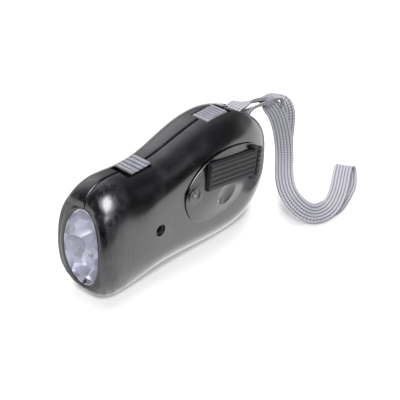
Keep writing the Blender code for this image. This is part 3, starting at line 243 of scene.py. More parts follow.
def case_skin(side, inset, share, turn):
    """Superellipse sections between the top and bottom lines. turn is 0 at the top of the parting plane
    and pi at its bottom. The right side ends in a soft minimum with the flat that carries the crank, the
    bottom in a soft maximum with the table. Quarter ellipses round off the nose's edge, more so outside on
    the right, and a quarter circle the seam's. The right shoulder has a lower power towards the front."""
    share, turn = share[:, None], turn[None, :]
    top, bottom = top_line(share), bottom_line(share)
    middle, half = (top + bottom) / 2, np.maximum((top - bottom) / 2 - inset, 0.02 * MM)
    deep, reach = NOSE_ROUNDING, NOSE_ROUNDING
    if side > 0 and inset == 0:
        deep, reach = RIGHT_ROUNDING, RIGHT_REACH
    rounding = deep * (1 - np.sqrt(1 - np.clip(1 - share * LENGTH / reach, 0, 1) ** 2))
    width = np.maximum(half_width(share, side) - inset - rounding, 0.02 * MM)
    sine = np.clip(np.sin(turn), 0, 1)
    forward = np.clip((0.5 - share) / 0.35, 0, 1)
    ease = SHOULDER_EASE * forward * forward * (3 - 2 * forward)
    power = SECTION_POWER - ease * (turn < math.pi / 2) * (side > 0)
    across = width * sine ** (2 / power)
    if side > 0:
        flat = SIDE_FLAT - inset
        across = -FLAT_BLEND * np.logaddexp(-across / FLAT_BLEND, -flat / FLAT_BLEND)
    up = np.copysign(np.abs(np.cos(turn)) ** (2 / power), np.cos(turn))
    across = np.maximum(across, SEAM / 2)
    near = np.clip(1 - (across - SEAM / 2) / SEAM_ROUNDING, 0, 1)
    groove = SEAM_ROUNDING * (1 - np.sqrt(1 - near ** 2)) if inset == 0 else 0
    z = middle + (half - np.minimum(groove, half / 2)) * up
    z = np.maximum(z, inset) if inset else GROUND_BLEND * np.logaddexp(0, z / GROUND_BLEND)
    y = -LENGTH / 2 + inset + share * (LENGTH - 2 * inset)
    fade = np.maximum(1 - share / 0.3, 0)
    return np.stack([PARTING_X + side * across, y + fade * nose_back(z), z], -1)


def case_half(side):
    """One half as a closed wall: from the lens opening over the nose, along the outside to the tail, and
    back inside, 2 mm in; its edge on the parting plane closes the wall."""
    nose = FRONT_SHARE * (1 - np.cos(np.linspace(0, math.pi / 2, 26)))
    body = np.linspace(FRONT_SHARE, REAR_SHARE, 76)[1:]
    tail = REAR_SHARE + (1 - REAR_SHARE) * np.sin(np.linspace(0, math.pi / 2, 40))[1:]
    share = np.concatenate([nose, body, tail])
    close = np.array([0, 0.0012, 0.0035, 0.008, 0.018])
    turn = np.concatenate([close, np.linspace(0.034, math.pi - 0.034, 90), math.pi - close[::-1]])
    oval_z = LENS_CENTRE_Z + LENS_HALF_HEIGHT * np.cos(turn)
    oval_x = PARTING_X + side * np.maximum(LENS_HALF_WIDTH * np.sin(turn), SEAM / 2)
    walls = []
    for inset in (0, WALL):
        skin = case_skin(side, inset, share, turn)
        blend = np.linspace(0, 1, 9)[:-1, None]
        x = oval_x + (skin[0, :, 0] - oval_x) * blend
        z = oval_z + (skin[0, :, 2] - oval_z) * blend
        lip = LIP_HEIGHT * np.sin(math.pi * np.clip(blend * 1.6, 0, 1)) * (inset == 0)
        face = np.stack([x, -LENGTH / 2 + inset + nose_back(z) - lip, z], -1)
        rim = face[:1].copy()
        if inset == 0:
            rim[..., 1] += RIM_DEPTH
            face[0, :, 0] += side * RIM_CHAMFER * np.sin(turn)
        else:
            rim[..., 1] -= INNER_RIM
        walls.append(np.concatenate([rim, face, skin]))
    outer, inner = walls
    points = np.concatenate([outer, inner[::-1]])
    rows, columns = points.shape[:2]
    faces = [grid_faces(rows, columns, wrap_rows=True)]
    i = np.arange(len(outer) - 1)
    for column in (0, columns - 1):
        ends = [i, i + 1, rows - 2 - i, rows - 1 - i]
        faces.append(np.stack([end * columns + column for end in ends], -1))
    return points, np.concatenate(faces)


def grid_piece(name, grid, finish, sharp=40, **wraps):
    """A piece whose faces are the quads of a grid of points."""
    return piece(name, grid, grid_faces(*grid.shape[:2], **wraps), finish, sharp)


def bar_piece(name, grid, finish, sharp=40):
    """A piece whose section is each column of a grid, closed by a face over each end column."""
    rows, columns = grid.shape[:2]
    sides = grid_faces(rows, columns, wrap_rows=True).tolist()
    ring = np.arange(rows) * columns
    faces = sides + [ring[::-1].tolist(), (ring + columns - 1).tolist()]
    return piece(name, grid, faces, finish, sharp)


def tube_faces(rows, columns):
    """Faces of a tube whose section is each row of a grid, closed by a face over each end row."""
    sides = grid_faces(rows, columns, wrap_columns=True).tolist()
    return sides + [list(range(columns))[::-1], list(range((rows - 1) * columns, rows * columns))]


def seam_tongue():
    """The strip that closes the seam from inside: it follows the skin at the parting plane, between 0.8 and
    1.5 mm in, from the nose over the top to the tail and back along the bottom."""
    share = (1 - np.cos(np.linspace(0, math.pi, 160))) / 2
    lines = []
    for inset in TONGUE_DEPTHS:
        skin = case_skin(1, inset, share, np.array([0, math.pi]))
        lines.append(np.concatenate([skin[:, 0], skin[-2::-1, 1]]))
    outer, inner = lines
    reach, middle = (TONGUE_HALF, 0, 0), (SEAM / 2, 0, 0)
    outer, inner = outer - middle, inner - middle
    return np.stack([outer - reach, outer + reach, inner + reach, inner - reach])


def box_solid(low, high):
    """The corners and faces of a box between two corners."""
    corners = np.stack(np.meshgrid(*zip(low, high), indexing="ij"), -1).reshape(-1, 3)
    return corners, [(0, 1, 3, 2), (4, 6, 7, 5), (0, 4, 5, 1), (2, 3, 7, 6), (0, 2, 6, 4), (1, 5, 7, 3)]


def rod_solid(start, end, radius, sides=48):
    """A rod from start to end: two rings of points about its axis, closed at both ends."""
    start, end = np.array(start, float), np.array(end, float)
    run = (end - start) / np.linalg.norm(end - start)
    first = np.cross(run, (0.0, 0.6, 0.8) if abs(run[0]) > 0.5 else (1.0, 0, 0))
    first /= np.linalg.norm(first)
    second = np.cross(run, first)
    turn = np.linspace(0, 2 * math.pi, sides, endpoint=False)[:, None]
    ring = radius * (np.cos(turn) * first + np.sin(turn) * second)
    return np.concatenate([start + ring, end + ring]), tube_faces(2, sides)


def ball_solid(centre, radius, rows=24, columns=36):
    """A sphere as rings of latitude, its poles closed by merging."""
    v, u = np.linspace(0, math.pi, rows)[:, None], np.linspace(0, 2 * math.pi, columns, endpoint=False)
    ball = np.stack([np.sin(v) * np.cos(u), np.sin(v) * np.sin(u), np.cos(v) + 0 * u], -1)
    return np.array(centre) + radius * ball, grid_faces(rows, columns, wrap_columns=True)


def cut(obj, *shapes):
    """Takes closed shapes out of a piece and keeps the result as its mesh."""
    tools = [piece(f"tool_{number}", *shape, None) for number, shape in enumerate(shapes)]
    for tool in tools:
        modifier = obj.modifiers.new(tool.name, "BOOLEAN")
        modifier.operation, modifier.object = "DIFFERENCE", tool
    evaluated = obj.evaluated_get(bpy.context.evaluated_depsgraph_get())
    result = bpy.data.meshes.new_from_object(evaluated)
    obj.modifiers.clear()
    obj.data = result
    result.shade_smooth()
    result.set_sharp_from_angle(angle=math.radians(40))
    for tool in tools:
        bpy.data.objects.remove(tool, do_unlink=True)


def smoke_plastic():
    """Polished smoky plastic: nearly black, with soft lighter clouds where what is inside shows through, a
    satin gloss, and flow streaks that run up and down beside the nose."""
    finish = Finish("smoke_plastic", IOR=1.5, Coat_Roughness=0.17, Coat_IOR=1.5, Specular_IOR_Level=0.8)
    clouds = finish.noise(95, 4).clamped(0.47, 0.72)
    fine = finish.noise(380, 3, stretch=(1, 0.6, 1)).clamped(0.5, 0.75)
    across = finish.node("SeparateXYZ", {}, finish.place(), output=1)
    near_nose = 1 - across.clamped(-0.050, -0.034)
    streaks = finish.noise(420, 2, stretch=(1, 1, 0.08)).clamped(0.42, 0.66) * near_nose
    share = clouds * 0.6 + fine * 0.15 + streaks * 0.4
    finish.surface(Base_Color=finish.mix(share, SMOKE, tuple(CLOUD * part for part in SMOKE)))
    rubs = finish.noise(900, 2, stretch=(1, 0.15, 1)).clamped(0.5, 0.8)
    finish.surface(Roughness=0.23 + rubs * 0.02 + streaks * 0.12)
    finish.surface(Coat_Weight=0.85 - near_nose * 0.45 - streaks * 0.35)
    return finish.bump(finish.noise(55, 1), 0.25 * MM, 0.2)


smoke = smoke_plastic()

# The openings in millimetres from the parting plane: boxes by two corners, bores by Y and Z, and the
# finger notch behind the grip by a ball's middle.
POWER_POCKET = ((-5.6, -32.8, 50.5), (5.6, -17.8, 70))
REAR_POCKET = ((-5.1, 18.1, 55.3), (5.1, 34.4, 70))
STRAP_SLOT = ((-5.2, 38.2, 47.6), (5.2, 51, 70))
SCREW_PLACES = ((-44.5, 49.2), (-10, 8), (43, 40), (45, 20))
HUB_PLACE, JACK_PLACE, BAR_PLACE = (-3.6, 35.5), (-23.7, 26.5), (43, 52.3)
SHAFT_BORE, BAR_BORE, SCREW_BORE = 2.8 * MM, 1.6 * MM, 2.5 * MM
NOTCH_PLACE, NOTCH_RADIUS = (17.2, 45, 37), 3.6 * MM


def from_parting(x, y, z):
    """A point in millimetres from the parting plane, as metres in the model's frame."""
    return x * MM + PARTING_X, y * MM, z * MM


def across_rod(start, end, place, radius, sides=48):
    """A rod square to the parting plane at a place, from one distance to another, in millimetres."""
    return rod_solid(from_parting(start, *place), from_parting(end, *place), radius, sides)


pockets = [
    box_solid(from_parting(*low), from_parting(*high))
    for low, high in (POWER_POCKET, REAR_POCKET, STRAP_SLOT)
]
for side, name in ((1, "right_shell"), (-1, "left_shell")):
    shell = piece(name.replace("shell", "half"), *case_half(side), smoke)
    holes = [*pockets, across_rod(-7.2, 7.2, BAR_PLACE, BAR_BORE, 24)]
    if side > 0:
        holes += [across_rod(12, 30, place, SHAFT_BORE) for place in (JACK_PLACE, HUB_PLACE)]
        holes.append(ball_solid(from_parting(*NOTCH_PLACE), NOTCH_RADIUS))
    else:
        holes += [across_rod(-30, -7, place, SCREW_BORE) for place in SCREW_PLACES]
    cut(shell, *holes)
    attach(shell, "case")
    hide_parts(name)

tongue = bar_piece("seam_tongue", seam_tongue(), smoke)
cut(tongue, *pockets)
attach(tongue, "case")

# ---- Light: a clear domed lens snapped into the nose, and behind it a bright metallised reflector with
# three cups that run into each other, each round a clear light-emitting diode.

LED_UP, LED_DOWN, LED_ASIDE = LENS_CENTRE_Z + 9.36 * MM, LENS_CENTRE_Z - 7.2 * MM, 5.2 * MM
LED_PLACES = ((0, LED_UP), (-LED_ASIDE, LED_DOWN), (LED_ASIDE, LED_DOWN))
LENS_SHARE, LENS_THICKNESS, LENS_TAPER = 0.95, 1.5 * MM, 0.985
REFLECTOR_BEHIND, REFLECTOR_DEPTH, CUP_RADIUS, REFLECTOR_WALL = 1.9 * MM, 8.0 * MM, 10.8 * MM, 0.7 * MM
LED_BASE_Y, LED_RADIUS, LED_FLANGE, LED_HEIGHT, LED_FOOT = -40.3 * MM, 2.5 * MM, 2.9 * MM, 6.1 * MM, MM


def oval_grid(shares, sides=144):
    """Points of the lens oval, as rings at these shares of its half width and half height."""
    r = np.array(shares)[:, None]
    t = np.linspace(0, 2 * math.pi, sides, endpoint=False)
    x, z = r * LENS_HALF_WIDTH * np.cos(t), r * LENS_HALF_HEIGHT * np.sin(t)
    return x, z, r + 0 * x


def lens_points():
    """The lens as a closed dish: its face follows the nose, with a steep power for its rounded rim, and its
    back is parallel."""
    x, z, r = oval_grid(np.linspace(0, LENS_SHARE, 28))
    face = nose_back(z + LENS_CENTRE_Z) - LENGTH / 2 + 0.1 * MM + 0.3 * MM * (r / LENS_SHARE) ** 16
    back = face[::-1] + LENS_THICKNESS + 0 * x
    ring = np.stack([x, face, z + LENS_CENTRE_Z], -1)
    inner = np.stack([x[::-1] * LENS_TAPER, back, z[::-1] * LENS_TAPER + LENS_CENTRE_Z], -1)
    return np.concatenate([ring, inner]) + (PARTING_X, 0, 0)


def reflector_points():
    """Three paraboloid cups about the diodes, of which the deepest counts at each place, a flat flange
    behind the lens, and a collar that stands forward round the lens's edge."""
    shares = np.concatenate([np.linspace(0, 0.94, 80), [0.955, 0.962, 0.965, 0.975, 0.99]])
    x, z, r = oval_grid(shares, 180)
    depth = np.zeros_like(x)
    for led_x, led_z in LED_PLACES:
        reach = np.hypot(x - led_x, z + LENS_CENTRE_Z - led_z)
        cup = REFLECTOR_DEPTH * (1 - (reach / CUP_RADIUS) ** 2)
        depth = np.maximum(depth, np.minimum(cup, REFLECTOR_DEPTH * 0.93))
    depth *= 1 - np.clip((r - 0.86) / 0.07, 0, 1) ** 2
    depth -= (REFLECTOR_BEHIND - 0.2 * MM) * np.clip((r - 0.955) / 0.01, 0, 1)
    z = z + LENS_CENTRE_Z
    face = np.stack([x, nose_back(z) - LENGTH / 2 + REFLECTOR_BEHIND + depth, z], -1)
    back = face[::-1] + (0, REFLECTOR_WALL, 0)
    return np.concatenate([face, back]) + (PARTING_X, 0, 0)


# The bright finish is broken into facets: each Voronoi cell has its own tilt and a painted reflection of its
# own.
FACETS_A_METRE, FACET_TILT = 240.0, 0.7
bright = Finish("bright_reflector", Metallic=0.6, Roughness=0.44)
facet = bright.node("TexVoronoi", {}, bright.place(), FACETS_A_METRE, output=1)
tilt = bright.node(
    "VectorMath", {"operation": "MULTIPLY_ADD"}, facet, (FACET_TILT,) * 3, (-FACET_TILT / 2,) * 3
)
turned_out = bright.node("VectorMath", {}, bright.node("NewGeometry", {}, output=1), tilt)
bright.surface(Normal=bright.node("VectorMath", {"operation": "NORMALIZE"}, turned_out))
# Painted reflection: each facet's colour is lighter or darker as if it mirrored a bright or dark part of the
# room.
facet_painted_reflection = bright.node("SeparateXYZ", {}, facet)
bright.surface(Base_Color=bright.mix(facet_painted_reflection, (0.42, 0.42, 0.47), (0.86, 0.86, 0.92)))
reflector = grid_piece("reflector_cups", reflector_points(), bright, 25, wrap_rows=True, wrap_columns=True)
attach(reflector, "case")
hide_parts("reflector")

# What is behind the lens shows through its tint, and its gloss adds to that by angle.
clear = Finish("clear_lens")
see = clear.node("BsdfTransparent", {}, (0.95, 0.95, 0.98))
gloss = clear.node("BsdfGlossy", {}, (0.9, 0.9, 0.95), 0.04)
angle = clear.node("LayerWeight", {}, 0.5, output=1).math("POWER", 4) * 0.8 + 0.04
clear.end(clear.node("MixShader", {}, angle, see, gloss))
lens = grid_piece("lens_dish", lens_points(), clear, wrap_rows=True, wrap_columns=True)
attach(lens, "case")
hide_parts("lens")

resin = Finish("diode_resin", Base_Color=(0.80, 0.80, 0.78), Roughness=0.08)
resin.surface(Specular_IOR_Level=0.8, Coat_Weight=0.5)


def diode(x, z):
    """A diode as a turned shape: flange, straight body and round dome, about an axis along the light."""
    dome = np.linspace(0, math.pi / 2, 10)
    radius = np.concatenate([LED_RADIUS * np.sin(dome), [LED_RADIUS, LED_FLANGE, LED_FLANGE, 0]])
    height = np.concatenate([LED_HEIGHT + LED_RADIUS * np.cos(dome), [LED_FOOT, LED_FOOT, 0, 0]])
    t = np.linspace(0, 2 * math.pi, 32, endpoint=False)
    r, h = radius[:, None], height[:, None]
    return np.stack([PARTING_X + x + r * np.cos(t), LED_BASE_Y - h + 0 * t, z + r * np.sin(t)], -1)


for number, (x, z) in enumerate(LED_PLACES, 1):
    led = grid_piece(f"diode_{number}", diode(x, z), resin, wrap_columns=True)
    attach(led, "case")
    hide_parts(f"led_{number}")

# ---- Slides: two grey caps that run in pockets on the top of the case, moulded in a softer satin
# plastic, with cross ribs for the thumb. The front one switches the light and stands proud.


def uneven(name, colour, smoothest, spread, waves, stretch=(1, 1, 1), **sockets):
    """A finish whose roughness rises from its smoothest by a spread, in noise of this many waves a metre."""
    finish = Finish(name, Base_Color=colour, **sockets)
    return finish.surface(Roughness=smoothest + finish.noise(waves, 2, stretch) * spread)


SLIDE_GREY, SLIDE_SHADE = (0.26, 0.26, 0.29), (0.22, 0.22, 0.25)
satin = uneven("satin_grey", SLIDE_GREY, 0.48, 0.1, 1500, Specular_IOR_Level=0.4)
satin.surface(Base_Color=satin.mix(satin.noise(300, 3).clamped(0.4, 0.7), SLIDE_GREY, SLIDE_SHADE))
satin.bump(satin.noise(5000, 2), 0.04 * MM, 0.5)


CAP_EDGE, CAP_END_DROP, CAP_SIDE_DROP = 0.46, 0.5 * MM, 0.45 * MM


def edge_fall(share, start):
    """A quarter circle over a share that runs from -0.5 to 0.5: 0 up to its start on both sides, and 1 at
    the edges."""
    out = np.clip((np.abs(share) - start) / (0.5 - start), 0, 1)
    return 1 - np.sqrt(1 - out ** 2)


def ribbed_cap(middle_y, length, width, low, high, ribs, depth, land):
    """A cap's section along the case, carried across it: ribs are a flat-topped wave over the land, which
    falls off at both ends, and the cap's sides are rounded where the section shrinks."""
    u = np.linspace(-0.5, 0.5, 16 * ribs + 1)
    wave = np.clip(0.5 + 1.6 * np.cos(2 * math.pi * (u * (ribs - 0.5) + 0.25 * (ribs % 2))), 0, 1)
    inside = np.clip((land / 2 - np.abs(u)) * 40, 0, 1)
    top = high - depth * (1 - wave) * inside - CAP_END_DROP * edge_fall(u, CAP_EDGE)
    v = np.linspace(-0.5, 0.5, 25)[None, :]
    side = CAP_SIDE_DROP * edge_fall(v, CAP_EDGE)
    x = v * width + 0 * u[:, None]
    y = (u * length)[:, None] + middle_y + 0 * v
    upper = np.stack([x, y, top[:, None] - side], -1)
    lower = np.stack([x, y, low + 0 * x], -1)
    return np.stack([upper, lower]) + (PARTING_X, 0, 0)


def plate_piece(name, layers, finish, sharp=40):
    """A closed piece between an upper and a lower grid of the same size, with a wall round their edge."""
    upper, lower = layers
    rows, columns = upper.shape[:2]
    count = rows * columns
    ids = np.arange(count).reshape(rows, columns)
    edge = np.concatenate([ids[0, :-1], ids[:-1, -1], ids[-1, :0:-1], ids[:0:-1, 0]])
    after = np.roll(edge, -1)
    flat = grid_faces(rows, columns)
    wall = np.stack([edge, edge + count, after + count, after], -1)
    return piece(name, layers, np.concatenate([flat, flat[:, ::-1] + count, wall]), finish, sharp)


black = uneven("black_plastic", (0.012, 0.012, 0.013), 0.4, 0.15, 1200)

# Under each cap a black neck goes down to a plate, which closes the pocket from inside and slides under
# the case's wall, and a stem below it moves the switch. Each has its middle along Y, its length, width, low
# and high side in millimetres, and a cap also its ribs: how many, how deep and over what share of it.
NO_RIBS = (1, 0, 0.8)
for name, parts in {
    "power": {
        "cap": (-24.1, 11.8, 10.0, 53.5, 54.6, 5, 0.8, 0.8), "neck": (-24.1, 9.8, 8.6, 50.2, 53.7, *NO_RIBS),
        "plate": (-24.9, 19.6, 12.4, 49.2, 50.3, *NO_RIBS), "stem": (-24.1, 4.0, 3.2, 47.1, 49.4, *NO_RIBS),
    },
    "rear": {
        "cap": (25.2, 13.4, 9.4, 57.8, 59.3, 8, 0.45, 0.86), "neck": (25.2, 11.4, 8.4, 54.7, 58.0, *NO_RIBS),
        "plate": (25.6, 19.2, 11.6, 53.7, 54.8, *NO_RIBS), "stem": (25.2, 4.0, 3.2, 51.5, 53.9, *NO_RIBS),
    },
}.items():
    for part, (*sizes, ribs, depth, land) in parts.items():
        shape = ribbed_cap(*(size * MM for size in sizes), ribs, depth * MM, land)
        made = plate_piece(f"{name}_{part}", shape, satin if part == "cap" else black, 30)
        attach(made, f"{name}_slide")
        if part == "cap":
            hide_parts(f"{name}_slide")

# ---- Crank: an egg-shaped arm in the same smoky plastic, pressed on the drive shaft and held by a ringed
# cap and a pin. A ribbed grip folds out of the arm's pocket on a steel pin between two ears.

HUB_Y, HUB_Z = (place * MM for place in HUB_PLACE)
ARM_LOW, ARM_RIM, ARM_CROWN = 16.1 * MM, 0.4 * MM, 2.7 * MM
GRIP_AXIS_X, GRIP_Y, GRIP_Z, GRIP_ANGLE = 18.7 * MM, 35.0 * MM, 36.1 * MM, math.radians(-10)
GRIP_LENGTH, GRIP_WIDTH, GRIP_HALF, GRIP_RIB, GRIP_SUNK = 31 * MM, 13 * MM, 1.45 * MM, 0.35 * MM, 0.7 * MM
ARM_POINTS = np.array((
    (-8.2, 33.5), (-3.5, 21.8), (9.5, 17.2), (25, 19.6), (36.5, 28.8), (42.6, 38.0), (36.5, 45.0),
    (22, 49.0), (8, 48.4), (-3.5, 42.5),
)) * MM


def catmull_rom(a, b, c, d, t):
    """The curve from b to c that passes each point with the slope between its neighbours."""
    bend, twist = 2 * a - 5 * b + 4 * c - d, 3 * b - a - 3 * c + d
    return 0.5 * (2 * b + (c - a) * t + bend * t ** 2 + twist * t ** 3)


def arm_points():
    """The egg outline drawn in to its middle in rings, raised by a power curve, with a cosine boss round
    the hub and a small rounding at its edge."""
    t = np.linspace(0, 1, 16, endpoint=False)[None, :, None]
    a, b, c, d = (np.roll(ARM_POINTS, -k, axis=0)[:, None, :] for k in (-1, 0, 1, 2))
    outline = catmull_rom(a, b, c, d, t).reshape(-1, 2)
    middle = outline.mean(axis=0)
    r = np.sin(np.linspace(0, math.pi / 2, 48))[::-1]
    height = ARM_RIM + (ARM_CROWN - ARM_RIM) * (1 - r ** 2) ** 1.5
    height = height - 0.25 * MM * np.clip((r - 0.975) / 0.025, 0, 1) ** 3
    rings = middle + r[:, None, None] * (outline - middle)
    from_hub = np.hypot(rings[..., 0] - HUB_Y, rings[..., 1] - HUB_Z)
    boss = 0.3 * MM * (1 + np.cos(math.pi * np.minimum(from_hub / (6.5 * MM), 1)))
    top = np.concatenate([(ARM_LOW + height[:, None] + boss)[..., None], rings], -1)
    base = top[::-1].copy()
    base[..., 0] = ARM_LOW
    return np.concatenate([base, top]) + (PARTING_X, 0, 0)


def grip_place(out, along, across):
    """A point of the grip's own axes: out of the case from the hinge, along the grip and across it."""
    c, s = math.cos(GRIP_ANGLE), math.sin(GRIP_ANGLE)
    return np.stack(np.broadcast_arrays(
        PARTING_X + GRIP_AXIS_X + out, GRIP_Y + along * c - across * s, GRIP_Z + along * s + across * c
    ), -1)


def grip_box(out0, out1, along0, along1, across0, across1):
    """A box on the grip's own axes."""
    corners, faces = box_solid((out0, along0, across0), (out1, along1, across1))
    return grip_place(corners[:, 0], corners[:, 1], corners[:, 2]), faces


# The arm is cut for the grip's pocket, the shaft, the hub's cap, the finger scoop and the hinge pin.
GRIP_CLEAR, POCKET_FLOOR, POCKET_HEEL, CAP_BORE = 0.3 * MM, -1.8 * MM, 1.76 * MM, 3.4 * MM
SCOOP_PLACE, SCOOP_RADIUS = (28.8, 17.2, 26.6), 12.5 * MM
PIN_REACH, PIN_BORE = 8.3 * MM, 0.9 * MM
arm = grid_piece("egg_arm", arm_points(), smoke, wrap_rows=True, wrap_columns=True)
pocket_side = GRIP_WIDTH / 2 + GRIP_CLEAR
cut(
    arm,
    grip_box(POCKET_FLOOR, 9 * MM, -GRIP_LENGTH - GRIP_CLEAR, POCKET_HEEL, -pocket_side, pocket_side),
    across_rod(15, 17.3, HUB_PLACE, SHAFT_BORE),
    across_rod(17.1, 30, HUB_PLACE, CAP_BORE),
    ball_solid(from_parting(*SCOOP_PLACE), SCOOP_RADIUS, 90, 120),
    rod_solid(grip_place(0, 0, -PIN_REACH), grip_place(0, 0, PIN_REACH), PIN_BORE, 24),
)
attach(arm, "crank")
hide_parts("crank_arm")


def turned(profile, sides=64):
    """A turned shape about the hub's axis: each pair of the profile is a radius and a height on X."""
    radius, height = np.array(profile).T[..., None] * MM
    t = np.linspace(0, 2 * math.pi, sides, endpoint=False)
    along, up = radius * np.cos(t), radius * np.sin(t)
    return np.stack([PARTING_X + height + 0 * t, HUB_Y + along, HUB_Z + up], -1)


# The hub's cap has two turned grooves round the head of a small steel pin.
HUB_CAP = (
    (0, 17.12), (3.3, 17.12), (3.3, 17.4), (3.2, 17.47), (2.6, 17.5), (2.52, 17.42), (2.38, 17.42),
    (2.3, 17.52), (1.5, 17.55), (1.42, 17.46), (1.28, 17.46), (1.2, 17.56), (0, 17.58),
)
HUB_PIN = ((0, 17.4), (0.42, 17.4), (0.42, 17.6), (0.3, 17.68), (0, 17.7))
pin_steel = Finish("pin_steel", Base_Color=(0.5, 0.5, 0.52), Metallic=1.0, Roughness=0.3)
for name, profile, finish, node in (
    ("hub_cap", HUB_CAP, smoke, "hub_washer"), ("hub_pin", HUB_PIN, pin_steel, "hub_screw"),
):
    made = grid_piece(name, turned(profile), finish, 50, wrap_columns=True)
    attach(made, "crank")
    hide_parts(node)

rubber = uneven("grip_plastic", (0.020, 0.020, 0.022), 0.32, 0.12, 1200, Specular_IOR_Level=0.35)
rubber.bump(rubber.noise(4000, 2), 0.04 * MM, 0.4)


def grip_ribs():
    """Shares across the grip, and the height of its ribs there: five and a half cosine waves, cut off flat
    above and below."""
    v = np.linspace(-0.5, 0.5, 97)
    return v, GRIP_RIB * np.clip(np.cos(2 * math.pi * (v * 5.5)) * 1.2 + 0.4, 0, 1)


def grip_points():
    """The grip's section, with its rounded ribs on its outer face, carried along it to its round heel."""
    v, rib = grip_ribs()
    upper = GRIP_HALF - GRIP_SUNK + rib - 0.4 * MM * edge_fall(v, 0.47)
    along = -np.concatenate([[GRIP_LENGTH], GRIP_LENGTH - np.linspace(0.15, 1, 5) * 0.5 * MM,
                             np.linspace(GRIP_LENGTH - MM, 0.3 * MM, 12)])
    nose = np.clip((along + GRIP_LENGTH) / (0.5 * MM), 0, 1)
    round_nose = 0.5 * MM * (1 - np.sqrt(1 - (1 - nose) ** 2))
    outer = upper[None, :] - round_nose[:, None]
    heel = np.radians(np.linspace(90, -90, 13))[:, None]
    heel_out = GRIP_HALF * np.sin(heel) + (upper - GRIP_HALF) * np.clip(np.sin(heel), 0, 1)
    heel_along = GRIP_HALF * 0.93 * np.cos(heel) + 0 * v
    out = np.concatenate([outer, heel_out, np.full((2, len(v)), -GRIP_HALF)])
    run = np.concatenate([along[:, None] + 0 * v, heel_along, np.full((1, len(v)), -0.3 * MM),
                          np.full((1, len(v)), -GRIP_LENGTH)])
    return grip_place(out, run, v * GRIP_WIDTH + 0 * out)


grip = bar_piece("ribbed_grip", grip_points(), rubber, 35)
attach(grip, "grip")
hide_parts("crank_grip")


EAR_HEIGHT, EAR_HALF, EAR_ROOT, EAR_GAP, EAR_END = 1.3, 1.5, -2.4, 0.35 * MM, 1.3 * MM


def ear_points(across0, across1):
    """An ear for the hinge pin: half an ellipse over the pin with straight sides down to the arm, carried
    across from one face of the ear to the other."""
    t = np.linspace(0, math.pi, 17)
    out = np.concatenate([EAR_HEIGHT * np.sin(t), [EAR_ROOT, EAR_ROOT]]) * MM
    along = np.concatenate([EAR_HALF * np.cos(t), [-EAR_HALF, EAR_HALF]]) * MM
    return grip_place(out[:, None], along[:, None], np.array([[across0, across1]]))


for number, side in enumerate((-1, 1), 1):
    ear = ear_points(side * (GRIP_WIDTH / 2 + EAR_GAP), side * (GRIP_WIDTH / 2 + EAR_END))
    ear = bar_piece(f"hinge_ear_{number}", ear, rubber, 35)
    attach(ear, "crank")


def heel_block():
    """The block behind the hinge, moulded with the ears: a low arch along the arm, with the grip's ribs."""
    v, rib = grip_ribs()
    along = np.array([1.95, 2.0, 2.2, 3.4, 4.3, 4.7, 4.75])[:, None] * MM
    fall = np.array([1.0, 0.3, 0.0, 0.1, 0.35, 0.8, 1.3])[:, None] * MM
    top = GRIP_HALF - GRIP_SUNK + rib - fall
    out = np.concatenate([top, np.full((2, len(v)), -2.3 * MM)])
    run = np.concatenate([along, along[-1:], along[:1]]) + 0 * v
    return grip_place(out, run, v * (GRIP_WIDTH + 0.4 * MM) + 0 * out)


heel = bar_piece("hinge_block", heel_block(), rubber, 35)
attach(heel, "crank")

# ---- Works: the gear train, generator, cells and boards inside, and the screws and pins that show.

steel = uneven("plated_steel", (0.55, 0.55, 0.57), 0.25, 0.15, 1500, Metallic=1.0)
dark_steel = uneven("blackened_steel", (0.10, 0.10, 0.105), 0.3, 0.15, 1500, Metallic=0.6)
magnet = Finish("magnet", Base_Color=(0.10, 0.10, 0.11), Roughness=0.5, Metallic=0.7)
copper = uneven("enamelled_copper", (0.60, 0.26, 0.10), 0.3, 0.2, 2500, (1, 1, 6), Metallic=1.0)
gear_white = uneven("gear_plastic", (0.72, 0.72, 0.70), 0.35, 0.1, 900)
board_green = uneven("circuit_board", (0.05, 0.20, 0.10), 0.4, 0.15, 700)
for finish, names in {
    steel: "cell_1 cell_2 cell_3 contact_negative contact_positive gear_axle_1 gear_axle_2 gear_plate "
           "rotor_pinion stator_core strap_bar grip_hinge_pin",
    dark_steel: "drive_shaft case_screw_front case_screw_waist case_screw_rear_top case_screw_rear_bottom",
    magnet: "rotor_magnet",
    copper: "coil_winding",
    gear_white: "drive_gear compound_gear_1 compound_gear_2",
    board_green: "led_board main_board rear_board",
    black: "power_switch rear_switch capacitor rectifier_1 rectifier_2 charging_socket coil_bobbin "
           "cell_tray",
}.items():
    for name in names.split():
        materials = nodes[name].data.materials
        materials.clear()
        materials.append(finish.material)

